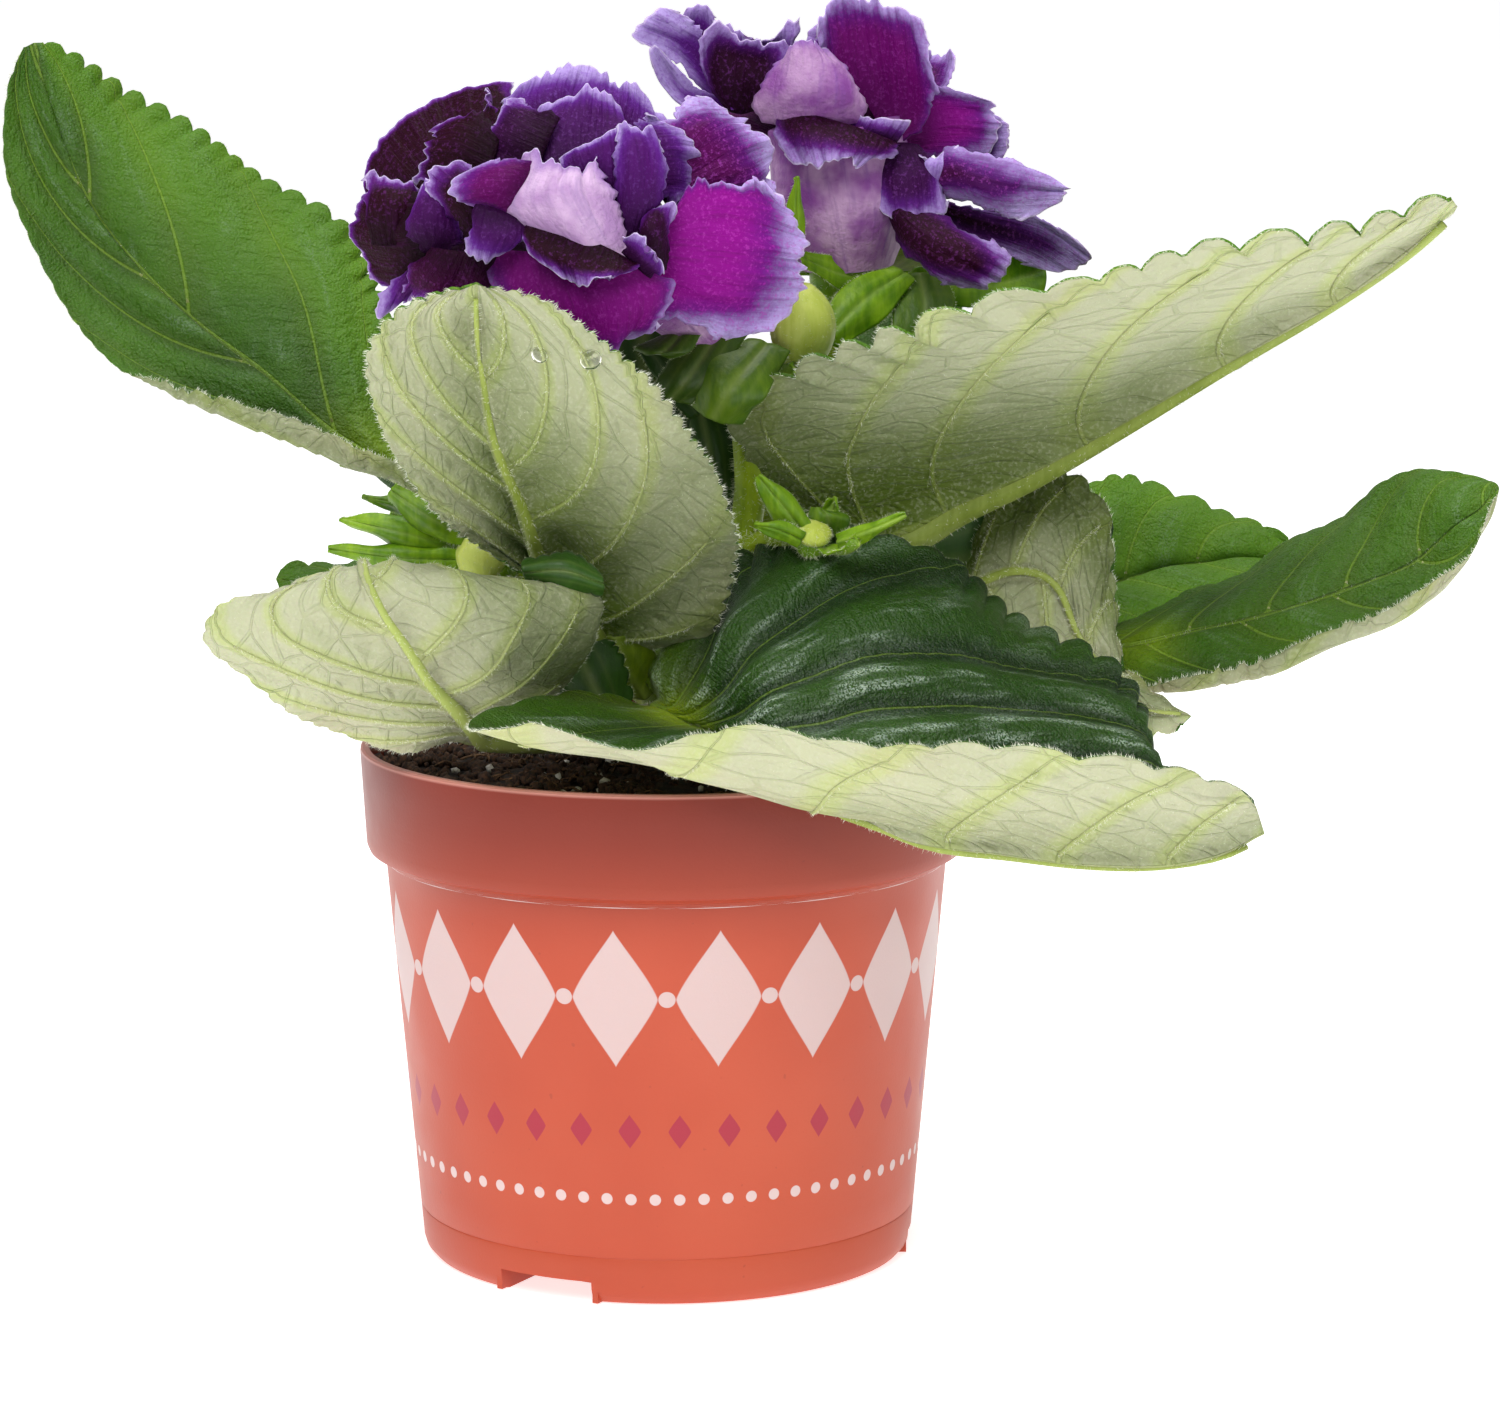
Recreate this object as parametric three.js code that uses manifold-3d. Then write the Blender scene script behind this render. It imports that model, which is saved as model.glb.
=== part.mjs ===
// A potted double-flowered gloxinia: a plastic nursery pot full of soil, one short stem with flower stalks,
// a rosette of scalloped leaves, two double blooms and three buds. Millimetres, +Z up.
// The origin is the middle of the pot's flat underside, and -Y is the front of the plant.
import * as THREE from "three";
import { mergeVertices } from "three/addons/utils/BufferGeometryUtils.js";
import Module from "manifold-3d";

const wasm = await Module();
wasm.setup();

// ---------------------------------------------------------------- driving dimensions
const GAP = 0.3; // clearance between pieces that touch
const CRUMB = 8; // cubic millimetres: what a cut may leave loose

const POT = {
  height: 101,
  topRadius: 60,
  collarHeight: 20,
  collarFootRadius: 58.9,
  bodyTopRadius: 55.1,
  bodyFootRadius: 48.5,
  baseRadius: 46.6,
  wall: 1.2,
  sides: 36,
};
// Three raised channels under the base, each with a drain hole above it.
const CHANNEL = {
  count: 3,
  firstAngle: -119.4,
  width: 20,
  inner: 33,
  height: 4.5,
  holeRadius: 4,
};
const SOIL = { rimLevel: 96, middleLevel: 98.5, bump: 0.8, rings: 5, sides: 24 };

const STEM = {
  foot: 78,
  top: 126,
  footRadius: 5.2,
  topRadius: 4.6,
  sides: 10,
};
const LEAF = {
  thickness: 0.9,
  petioleRadius: 2.3,
  ribDrop: 0.7, // how far the midrib's middle line lies under the blade's
  scallop: 1.8, // depth of the scallops
  wave: 0.7, // height of the margin's waves
  waves: 4.5, // how many there are on each side
};
const PETAL = { thickness: 0.7, ruffle: 1.6, rows: [[0, 1], [0.35, 3], [0.7, 5], [1, 8]] };
const SEPAL = { thickness: 0.9, ruffle: 0.3, rows: [[0, 1], [0.5, 2], [1, 1]] };
const RUFFLES = 7.5; // how fast a ruffle turns across a petal, in radians from its middle to its side
const ROUND_TIP = 0.16; // how far a petal's corners fall short of its tip, as a share of its length

// ---------------------------------------------------------------- the leaves
// blade: cross-sections from base to tip, each [left margin, midrib, right margin], seen from above, tip away.
// petiole: points from the stem to the blade. bulge: how far each half bows up from the straight line between
// midrib and margin, left then right. teeth: scallops on each side.
const LEAVES = [
  {
    name: "leaf_left_high",
    petiole: [[-1, 1, 113], [-20, 3, 125]],
    bulge: [-3, 2], teeth: 17,
    blade: [
      [[-41, 2, 145], [-42, 5, 149], [-42, 9, 152]],
      [[-52, -2, 151], [-54, 7, 155], [-51, 20, 166]],
      [[-65, -2, 155], [-66, 9, 162], [-57, 26, 186]],
      [[-89, 4, 162], [-79, 13, 173], [-64, 32, 199]],
      [[-109, 12, 175], [-92, 18, 182], [-80, 36, 209]],
      [[-123, 20, 194], [-104, 23, 193], [-95, 38, 219]],
      [[-130, 26, 212], [-113, 27, 204], [-109, 38, 227]],
      [[-130, 31, 226], [-120, 30, 220], [-118, 36, 233]],
      [[-127, 33, 235], [-125, 33, 236], [-123, 34, 236]],
    ],
  },
  {
    name: "leaf_front_left_high",
    petiole: [[0, -1, 114.5], [-6, -8.5, 118]],
    bulge: [-3, 1], teeth: 15,
    blade: [
      [[-8, -15, 121], [-11, -15, 122], [-15, -16, 126]],
      [[7, -18, 124], [-17, -20, 131], [-23, -24, 135]],
      [[13, -30, 142], [-23, -27, 140], [-35, -34, 144]],
      [[10, -44, 156], [-27, -40, 154], [-46, -46, 156]],
      [[3, -56, 169], [-31, -52, 166], [-53, -55, 172]],
      [[-7, -62, 181], [-33, -57, 178], [-54, -58, 182]],
      [[-19, -66, 191], [-34, -61, 188], [-49, -62, 190]],
      [[-32, -65, 195], [-34, -65, 196], [-37, -65, 195]],
    ],
  },
  {
    name: "leaf_right_high",
    petiole: [[2, 0, 118], [22, 4, 128]],
    bulge: [2, -2], teeth: 18,
    blade: [
      [[41, 8, 136], [40, 4, 138], [36, 2, 141]],
      [[45, 16, 137], [43, 3, 141], [22, -2, 151]],
      [[53, 24, 140], [49, 2, 144], [13, -11, 166]],
      [[63, 30, 143], [57, 0, 149], [26, -22, 176]],
      [[75, 32, 150], [71, -4, 156], [47, -32, 185]],
      [[92, 32, 159], [88, -8, 166], [71, -40, 193]],
      [[111, 28, 170], [106, -12, 177], [93, -40, 198]],
      [[130, 16, 184], [125, -15, 188], [115, -36, 202]],
      [[143, 0, 196], [140, -17, 198], [134, -30, 204]],
      [[150, -15, 205], [150, -20, 207], [148, -24, 209]],
    ],
  },
  {
    name: "leaf_right",
    petiole: [[2, 1, 106], [45, 8, 111]],
    bulge: [2, -4], teeth: 13,
    blade: [
      [[85, 12, 119], [84, 8, 118], [83, 4, 117]],
      [[91, 20, 121], [91, 7, 119], [90, -8, 112]],
      [[103, 26, 125], [103, 5, 122], [106, -16, 113]],
      [[116, 29, 130], [119, 3, 126], [122, -19, 119]],
      [[127, 28, 137], [134, 2, 131], [136, -17, 125]],
      [[137, 25, 143], [146, 1, 136], [147, -13, 130]],
      [[148, 19, 152], [154, 1, 143], [155, -8, 138]],
      [[155, 12, 152], [160, 2, 147], [160, -3, 145]],
      [[162, 7, 151], [163, 4, 151], [163, 2, 150]],
    ],
  },
  {
    name: "leaf_right_back",
    petiole: [[2, 4, 111], [35, 15, 117]],
    bulge: [2, 2], teeth: 9,
    blade: [
      [[69, 26, 125], [68, 22, 124], [68, 18, 122]],
      [[74, 40, 135], [77, 30, 125], [77, 18, 118]],
      [[85, 50, 144], [88, 38, 126], [88, 26, 117]],
      [[96, 56, 146], [101, 44, 129], [102, 32, 119]],
      [[108, 58, 141], [113, 48, 130], [114, 38, 123]],
      [[121, 56, 137], [123, 50, 130], [125, 44, 127]],
      [[129, 52, 133], [131, 52, 131], [130, 50, 130]],
    ],
  },
  {
    name: "leaf_left_low",
    petiole: [[-1, -1, 102], [-18, -14, 103]],
    bulge: [-6, -2], teeth: 12,
    blade: [
      [[-34, -26, 108], [-36, -26, 107], [-38, -26, 106]],
      [[-23, -28, 114], [-40, -36, 114], [-50, -38, 106]],
      [[-16, -32, 121], [-44, -43, 120], [-65, -45, 112]],
      [[-13, -38, 132], [-47, -49, 126], [-77, -50, 121]],
      [[-12, -40, 138], [-50, -52, 131], [-85, -52, 129]],
      [[-18, -42, 143], [-53, -54, 137], [-82, -54, 136]],
      [[-28, -44, 142], [-55, -53, 141], [-72, -52, 139]],
      [[-42, -42, 141], [-56, -48, 144], [-62, -46, 142]],
      [[-53, -34, 139], [-57, -34, 139], [-60, -36, 138]],
    ],
  },
  {
    name: "leaf_front",
    petiole: [[0, -2, 104], [0, -10, 108]],
    bulge: [3, -3], teeth: 18,
    blade: [
      [[-1, -15, 112], [-3, -17, 111], [-5, -19, 111]],
      [[-3, -11, 117], [6, -30, 109], [-20, -36, 116]],
      [[5, -9, 126], [15, -46, 108], [-31, -50, 116]],
      [[13, -6, 134], [23, -62, 106], [-36, -60, 113]],
      [[27, -3, 139], [31, -66, 101], [-23, -68, 116]],
      [[40, -4, 141], [39, -67, 98], [-5, -72, 112]],
      [[55, -6, 137], [50, -67, 94], [14, -76, 116]],
      [[67, -9, 127], [63, -66, 92], [37, -80, 114]],
      [[83, -16, 119], [76, -65, 90], [60, -81, 113]],
      [[90, -25, 113], [89, -63, 89], [80, -78, 111]],
      [[93, -38, 103], [102, -60, 90], [97, -72, 106]],
      [[105, -52, 96], [111, -56, 93], [108, -63, 101]],
    ],
  },
  {
    name: "leaf_right_middle",
    petiole: [[2, 1, 114], [30, 6, 122]],
    bulge: [-1, -1], teeth: 9,
    blade: [
      [[59, 8, 125], [59, 8, 128], [58, 8, 130]],
      [[63, 4, 120], [64, 5, 132], [63, 10, 143]],
      [[68, 0, 116], [70, 2, 134], [73, 10, 152]],
      [[74, -4, 112], [76, -1, 132], [82, 6, 151]],
      [[79, -8, 108], [80, -4, 124], [87, 2, 143]],
      [[84, -14, 106], [85, -10, 117], [87, -4, 131]],
      [[91, -18, 105], [92, -16, 110], [88, -10, 118]],
      [[99, -20, 107], [101, -20, 109], [98, -18, 110]],
    ],
  },
  {
    name: "leaf_left_back",
    petiole: [[-2, 3, 107], [-12, 12, 114]],
    bulge: [2, 2], teeth: 7,
    blade: [
      [[-25, 16, 120], [-25, 20, 121], [-25, 24, 122]],
      [[-39, 20, 118], [-39, 30, 122], [-40, 38, 128]],
      [[-53, 26, 117], [-54, 34, 124], [-54, 44, 129]],
      [[-66, 30, 122], [-66, 36, 126], [-67, 44, 130]],
      [[-78, 36, 126], [-79, 38, 128], [-78, 40, 130]],
    ],
  },
  {
    name: "leaf_back_left",
    petiole: [[-2, 3, 121], [-9, 22, 128]],
    bulge: [2, 2], teeth: 11,
    blade: [
      [[-16, 33, 133], [-14, 35, 134], [-11, 36, 134]],
      [[-34, 41, 139], [-18, 48, 139], [0, 53, 142]],
      [[-44, 56, 148], [-23, 64, 146], [-3, 71, 150]],
      [[-48, 73, 157], [-28, 81, 153], [-9, 88, 157]],
      [[-46, 91, 162], [-33, 98, 158], [-19, 102, 161]],
      [[-40, 109, 163], [-38, 111, 162], [-35, 112, 163]],
    ],
  },
  {
    name: "leaf_back_right",
    petiole: [[2, 3, 120], [14, 22, 131]],
    bulge: [2, 2], teeth: 11,
    blade: [
      [[20, 36, 139], [23, 35, 138], [25, 33, 139]],
      [[16, 52, 150], [31, 47, 148], [43, 38, 151]],
      [[20, 68, 164], [38, 60, 160], [53, 49, 165]],
      [[31, 83, 176], [46, 74, 172], [60, 63, 177]],
      [[43, 93, 185], [54, 86, 182], [64, 78, 186]],
      [[58, 97, 189], [60, 96, 189], [62, 94, 189]],
    ],
  },
];

// ---------------------------------------------------------------- the blooms
// The way each bloom's petals look, unless a petal has its own.
const FACING = { bloom_front: [-0.5, -0.65, 0.55], bloom_back: [0.1, -0.5, 0.85] };
// Each petal runs from a point in the throat to the middle of its free edge. half: half its greatest width.
// bow: how far its middle stands off the straight line. cup: how far its sides turn the way it looks.
// face: the way its upper side looks.
const PETALS = {
  bloom_front: [
    { from: [-3, -32, 201], to: [26, -22, 197], half: 17, bow: 3, cup: -3 },
    { from: [0, -26, 211], to: [21, -16, 217], half: 12.5, bow: 3, cup: -3 },
    { from: [-12, -26, 210], to: [-12, -28, 232], half: 18, bow: 2, cup: 4, face: [0, -1, 0.1] },
    { from: [-7, -28, 211], to: [6, -29, 220], half: 12, bow: 0, cup: 3, face: [0, -1, 0.2] },
    { from: [-14, -32, 210], to: [-16, -38, 229], half: 14, bow: -2, cup: 4, face: [0, -1, 0.1] },
    { from: [-23, -24, 208], to: [-45, -14, 226], half: 17, bow: 4, cup: 4 },
    { from: [-23, -26, 207], to: [-52, -17, 216], half: 14, bow: 3, cup: 4 },
    { from: [-27, -28, 205], to: [-57, -22, 203], half: 15, bow: -2, cup: 5 },
    { from: [-24, -29, 199], to: [-52, -27, 189], half: 8, bow: 1, cup: -1 },
    { from: [-21, -35, 200], to: [-44, -40, 193], half: 10, bow: 1, cup: -2 },
    { from: [-12, -38, 200], to: [-14, -44, 182], half: 18, bow: 3, cup: -3, face: [0, -0.8, 0.6] },
    { from: [-12, -40, 205], to: [-17, -51, 196], half: 11, bow: 1, cup: 3 },
    { from: [-11, -43, 197], to: [-20, -47, 219], half: 14, bow: -1, cup: -2, face: [0, 1, 0.2] },
    { from: [-8, -40, 202], to: [-4, -43, 223], half: 10, bow: 2, cup: 3, face: [-0.5, -0.8, 0] },
    { from: [-18, -38, 206], to: [-36, -46, 214], half: 9, bow: 1, cup: 3 },
    { from: [-21, -35, 205], to: [-47, -36, 210], half: 12, bow: 1, cup: 4 },
    { from: [-19, -39, 203], to: [-36, -48, 201], half: 8, bow: 1, cup: 2 },
    { from: [-6, -40, 204], to: [2, -43, 207], half: 8, bow: 0, cup: 2 },
    { from: [-12, -22, 208], to: [-20, -2, 224], half: 16, bow: 3, cup: -3 },
    { from: [-6, -24, 202], to: [6, -4, 196], half: 14, bow: 3, cup: -2 },
  ],
  bloom_back: [
    { from: [37, 12, 218], to: [42, 4, 244], half: 15, bow: -2, cup: 4, face: [0, -1, 0.1] },
    { from: [42, 15, 218], to: [67, 18, 223], half: 11, bow: 2, cup: -2, face: [0, -0.8, 0.6] },
    { from: [43, 8, 211], to: [77, -2, 208], half: 9, bow: 3, cup: -2, face: [0, -0.7, 0.7] },
    { from: [45, 13, 206], to: [83, 16, 194], half: 9, bow: 3, cup: -1, face: [0, -0.6, 0.8] },
    { from: [42, 7, 209], to: [62, -6, 190], half: 13, bow: 3, cup: -2, face: [0.3, -0.7, 0.6] },
    { from: [34, 7, 219], to: [35, -8, 214], half: 14, bow: 3, cup: -1 },
    { from: [29, 8, 218], to: [28, 1, 237], half: 12, bow: 0, cup: 2, face: [0, 1, 0.2] },
    { from: [24, 10, 218], to: [14, 3, 241], half: 11, bow: -2, cup: 4, face: [0.3, -1, 0] },
    { from: [27, 14, 218], to: [25, 14, 241], half: 11, bow: 0, cup: 3, face: [0, -1, 0] },
    { from: [25, 14, 218], to: [-2, 11, 243], half: 9, bow: -2, cup: 2, face: [0.4, -0.9, 0.2] },
    { from: [24, 12, 217], to: [-4, 6, 235], half: 6, bow: -1, cup: 1, face: [0.3, -0.9, 0.3] },
    { from: [28, 18, 218], to: [9, 44, 222], half: 16, bow: 4, cup: -2 },
    { from: [34, 20, 218], to: [38, 52, 230], half: 18, bow: 4, cup: -2 },
    { from: [40, 18, 218], to: [62, 46, 222], half: 16, bow: 4, cup: -2 },
  ],
};
// The bell of each bloom: points along its middle, from the calyx to the throat, and its radii there.
// heart: the knot in the throat that the innermost petals grow from, as its middle and radius.
const BELLS = {
  bloom_front: {
    points: [[13, -6, 175], [4, -17, 187], [-12, -30, 204]],
    radii: [5, 11, 15],
    heart: [[-13, -33, 203], 10],
  },
  bloom_back: {
    points: [[36, 15, 193], [35, 14, 206], [33, 13, 221]],
    radii: [7, 13, 12],
    heart: [[33, 12, 220], 8],
  },
};

// ---------------------------------------------------------------- the flower stalks, sepals and buds
// radii: the radius at the root and at the far end.
const STALKS = [
  { points: [[1, 0, 116], [11, 1, 130], [16, 0, 146], [16, -3, 160], [14, -5, 173.5]], radii: [3.4, 2.9] },
  { points: [[1, 2, 118], [16, 9, 137], [27, 13, 155], [33, 15, 172], [36, 15, 191.5]], radii: [3, 2.6] },
  { points: [[15, 0, 139], [19, -4, 141.5], [24, -9, 142.5], [28, -13.5, 143.4]], radii: [1.8, 1.8] },
  { points: [[-1, 0, 116], [-12, -2, 128], [-24, -3, 134], [-33.5, -5.4, 137.5]], radii: [2.4, 1.8] },
  { points: [[16, -3, 160], [22, -5, 166], [26, -5, 173.5]], radii: [1.8, 1.8] },
];
const BUDS = [
  { name: "bud_right", points: [[26, -5, 174.5], [26, -7, 184], [25, -9, 193]], radius: 5.8 },
  { name: "bud_star", points: [[28, -14, 144.5], [28.4, -15, 148], [28.6, -16, 152]], radius: 4.6 },
  { name: "bud_left", points: [[-34.6, -5.6, 138], [-39, -6.5, 140], [-45, -7, 142]], radius: 4.8 },
];
// Sepals round each calyx: the middle and radius of its cup, the way it opens, and the sepals' points.
const CALYXES = [
  {
    name: "calyx_front", middle: [14, -5, 173], axis: [-0.45, -0.6, 0.65], core: 6, half: 6,
    tips: [[7, -18, 171], [-2, -7, 168], [25, -14, 175], [25, 5, 178], [7, 9, 177]],
  },
  {
    name: "calyx_back", middle: [36, 15, 191], axis: [0, 0, 1], core: 8, half: 8,
    tips: [[20, -2, 179], [20, 6, 194], [50, -2, 190], [73, 12, 191], [52, 34, 197], [22, 34, 196]],
  },
  {
    name: "calyx_star", middle: [28, -14, 143.5], axis: [0.05, -0.2, 1], core: 4.6, half: 4,
    tips: [[18, -15, 154], [16, -20, 146], [44, -20, 148], [35, -22, 145], [33, -6, 152]],
  },
  {
    name: "calyx_left", middle: [-33, -5.3, 137.3], axis: [-0.93, -0.15, 0.33], core: 4.6, half: 5,
    tips: [[-59, -8, 149], [-63, -6, 139], [-54, -3, 146], [-46, -12, 153], [-49, -16, 139]],
  },
];

// ---------------------------------------------------------------- helpers
const rad = THREE.MathUtils.degToRad;
const vec = (p) => new THREE.Vector3(...p);

// A closed three.js geometry as a manifold-3d solid.
function solidOf(geometry) {
  const bare = geometry.clone();
  bare.deleteAttribute("normal");
  bare.deleteAttribute("uv");
  const merged = mergeVertices(bare, 1e-4);
  return new wasm.Manifold(
    new wasm.Mesh({
      numProp: 3,
      vertProperties: merged.attributes.position.array,
      triVerts: new Uint32Array(merged.index.array),
    }),
  );
}

// A solid back as a three.js geometry. Loose crumbs of a cut are dropped, but a loose piece is a mistake.
function geometryOf(solid, name) {
  const bodies = solid.decompose().sort((a, b) => b.volume() - a.volume());
  if (bodies.slice(1).some((body) => body.volume() > CRUMB))
    throw new Error(name + " is in loose pieces");
  const mesh = bodies[0].getMesh();
  const geometry = new THREE.BufferGeometry();
  geometry.setAttribute("position", new THREE.BufferAttribute(mesh.vertProperties, 3));
  geometry.setIndex(new THREE.BufferAttribute(mesh.triVerts, 1));
  geometry.computeVertexNormals();
  return geometry;
}

const union = (solids) => solids.reduce((sum, solid) => sum.add(solid));

// Random numbers from 0 to 1, the same on every run.
function seeded(seed) {
  let state = seed;
  return () => {
    state = (state * 1664525 + 1013904223) % 4294967296;
    return state / 4294967296;
  };
}

// A round stalk through points, with closed ends. radiusAt: its radius, from the share of points passed.
function stalk(points, radiusAt, sides) {
  const last = points.length - 1;
  const positions = [];
  const index = [];
  const side = new THREE.Vector3(0.3, 1, 0.2);
  points.forEach((centre, i) => {
    const along = points[Math.min(i + 1, last)].clone().sub(points[Math.max(i - 1, 0)]).normalize();
    side.addScaledVector(along, -side.dot(along)).normalize();
    const other = along.clone().cross(side);
    for (let j = 0; j < sides; j++) {
      const angle = (2 * Math.PI * j) / sides;
      const out = side.clone().multiplyScalar(Math.cos(angle)).addScaledVector(other, Math.sin(angle));
      positions.push(...centre.clone().addScaledVector(out, radiusAt(i / last)).toArray());
    }
  });
  for (let i = 0; i < last; i++)
    for (let j = 0; j < sides; j++) {
      const a = i * sides + j;
      const b = i * sides + ((j + 1) % sides);
      index.push(a, b, a + sides, b, b + sides, a + sides);
    }
  for (let j = 1; j < sides - 1; j++) {
    const end = last * sides;
    index.push(0, j + 1, j, end, end + j, end + j + 1);
  }
  const geometry = new THREE.BufferGeometry();
  geometry.setAttribute("position", new THREE.Float32BufferAttribute(positions, 3));
  geometry.setIndex(index);
  return solidOf(geometry);
}

// A thin curved blade: place(t, v) is a point of its middle surface, t along it and v across.
// rows lists each line of points along it as [v, segments]. Both faces are split into the same triangles.
function bladeSolid(place, rows, thickness) {
  const points = [];
  const starts = [];
  rows.forEach(([v, segments]) => {
    starts.push(points.length);
    for (let i = 0; i <= segments; i++) points.push(place(i / segments, v));
  });
  const faces = [];
  for (let r = 0; r + 1 < rows.length; r++) {
    let [i, j] = [0, 0];
    const [left, right] = [rows[r][1], rows[r + 1][1]];
    while (i < left || j < right) {
      const a = starts[r] + i;
      const b = starts[r + 1] + j;
      if (j >= right || (i < left && (i + 1) / left <= (j + 1) / right)) {
        faces.push([a, b, a + 1]);
        i++;
      } else {
        faces.push([a, b, b + 1]);
        j++;
      }
    }
  }
  const normals = points.map(() => new THREE.Vector3());
  for (const [a, b, c] of faces) {
    const normal = points[b].clone().sub(points[a]).cross(points[c].clone().sub(points[a]));
    for (const k of [a, b, c]) normals[k].add(normal);
  }
  const positions = [];
  for (const side of [0.5, -0.5])
    points.forEach((p, k) => {
      normals[k].normalize();
      positions.push(...p.clone().addScaledVector(normals[k], side * thickness).toArray());
    });
  const index = [];
  const under = points.length;
  for (const [a, b, c] of faces) index.push(a, b, c, a + under, c + under, b + under);
  // The rim: first row, the far ends of the rows, the last row backwards and the near ends.
  const last = rows.length - 1;
  const loop = [];
  for (let i = 0; i <= rows[0][1]; i++) loop.push(starts[0] + i);
  for (let r = 1; r <= last; r++) loop.push(starts[r] + rows[r][1]);
  for (let i = rows[last][1] - 1; i >= 0; i--) loop.push(starts[last] + i);
  for (let r = last - 1; r > 0; r--) loop.push(starts[r]);
  loop.forEach((a, k) => {
    const b = loop[(k + 1) % loop.length];
    index.push(a, b, a + under, b, b + under, a + under);
  });
  const geometry = new THREE.BufferGeometry();
  geometry.setAttribute("position", new THREE.Float32BufferAttribute(positions, 3));
  geometry.setIndex(index);
  const solid = solidOf(geometry);
  if (solid.volume() < 0) throw new Error("a blade is inside out");
  return solid;
}

// ---------------------------------------------------------------- leaves, petals, sepals and buds
// A smooth line through points that are spaced evenly in t, whatever their distances.
const rail = (points) => new THREE.CatmullRomCurve3(points.map(vec), false, "catmullrom", 0.5);

function leafSolid(leaf, trunk) {
  const rails = [0, 1, 2].map((k) => rail(leaf.blade.map((section) => section[k])));
  const [, rib] = rails;
  // t is the place along the blade, and v runs from -1 at the left margin to 1 at the right.
  const upAt = (t, edge) => {
    const out = edge.getPoint(t).sub(rib.getPoint(t));
    const up = out.cross(rib.getTangent(t)).normalize();
    return edge === rails[0] ? up.negate() : up;
  };
  const place = (s, v) => {
    const edge = rails[v < 0 ? 0 : 2];
    const reach = Math.abs(v);
    // Points are spread evenly along the margin at the margin, and along the midrib at the midrib.
    const t = edge.getUtoTmapping(s) * reach + rib.getUtoTmapping(s) * (1 - reach);
    const middle = rib.getPoint(t);
    const point = middle.clone().lerp(edge.getPoint(t), reach);
    const up = upAt(Math.min(t, 0.98), edge);
    const bulge = leaf.bulge[v < 0 ? 0 : 1] * Math.sin(Math.PI * t);
    point.addScaledVector(up, bulge * 4 * reach * (1 - reach));
    if (reach > 0.99) {
      const outward = up.clone().cross(edge.getTangent(t)).multiplyScalar(v < 0 ? 1 : -1);
      const tooth = Math.abs(Math.sin(Math.PI * leaf.teeth * s)) - 0.5;
      point.addScaledVector(outward, LEAF.scallop * tooth);
      point.addScaledVector(up, LEAF.wave * Math.sin(2 * Math.PI * LEAF.waves * s));
    }
    return point;
  };
  const fine = leaf.teeth * 2;
  const middle = Math.ceil(leaf.teeth * 0.5);
  const steps = Math.ceil(leaf.teeth * 0.4);
  const rows = [[-1, fine], [-0.6, middle], [0, steps], [0.6, middle], [1, fine]];
  const blade = bladeSolid(place, rows, LEAF.thickness);
  // The petiole runs on as the midrib, under the blade's middle line and thinner towards the tip.
  const under = Array.from({ length: steps }, (_, i) => {
    const t = rib.getUtoTmapping(i / steps);
    const up = upAt(t, rails[0]).add(upAt(t, rails[2])).normalize();
    return place(i / steps, 0).addScaledVector(up, -LEAF.ribDrop);
  });
  const petiole = new THREE.CatmullRomCurve3([...leaf.petiole.map(vec), under[0]], false, "centripetal");
  const ribPoints = [...petiole.getSpacedPoints(3).slice(0, 3), ...under];
  const radiusAt = (s) => LEAF.petioleRadius * (1.1 - 0.75 * s);
  return blade.add(stalk(ribPoints, radiusAt, 6)).subtract(trunk);
}

// A petal or sepal: edge(t) is its half-width from base to free end as a share of the greatest.
function petalSolid({ from, to, half, bow, cup, face }, facing, edge, { thickness, ruffle, rows }) {
  const [start, end] = [vec(from), vec(to)];
  const along = end.clone().sub(start);
  const up = vec(face ?? facing);
  up.addScaledVector(along, -up.dot(along) / along.lengthSq()).normalize();
  const across = along.clone().cross(up).normalize();
  const place = (s, t) => {
    const v = 2 * s - 1;
    const point = start.clone().addScaledVector(along, t - ROUND_TIP * v * v * t * t * t);
    const wave = ruffle * t * t * Math.sin(v * RUFFLES + half) * (0.4 + 0.6 * Math.abs(v));
    point.addScaledVector(across, v * half * edge(t));
    return point.addScaledVector(up, bow * 4 * t * (1 - t) + cup * v * v * t + wave);
  };
  return bladeSolid(place, rows, thickness);
}
const petalEdge = (t) => 0.45 + 0.55 * Math.sin(Math.PI * Math.min(1, 0.08 + 0.78 * t));
const sepalEdge = (t) => 0.1 + 0.88 * Math.sin(Math.PI * Math.pow(0.06 + 0.9 * t, 0.8));

function bellSolid({ points, radii }, grow) {
  const width = rail(radii.map((r) => [r, 0, 0]));
  return stalk(rail(points).getPoints(4), (s) => width.getPoint(s).x + grow, 10);
}

function bloomSolid(name) {
  const petals = PETALS[name].map((petal) => petalSolid(petal, FACING[name], petalEdge, PETAL));
  const [middle, radius] = BELLS[name].heart;
  const heart = solidOf(new THREE.SphereGeometry(radius, 6, 4).translate(...middle));
  return union([bellSolid(BELLS[name], 0), heart, ...petals]);
}

function budSolid({ points, radius }, grow) {
  const roundness = (s) => 0.15 + 0.85 * Math.pow(Math.sin(Math.PI * (0.06 + 0.9 * s)), 0.7);
  return stalk(rail(points).getPoints(5), (s) => radius * roundness(s) + grow, 8);
}

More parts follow.
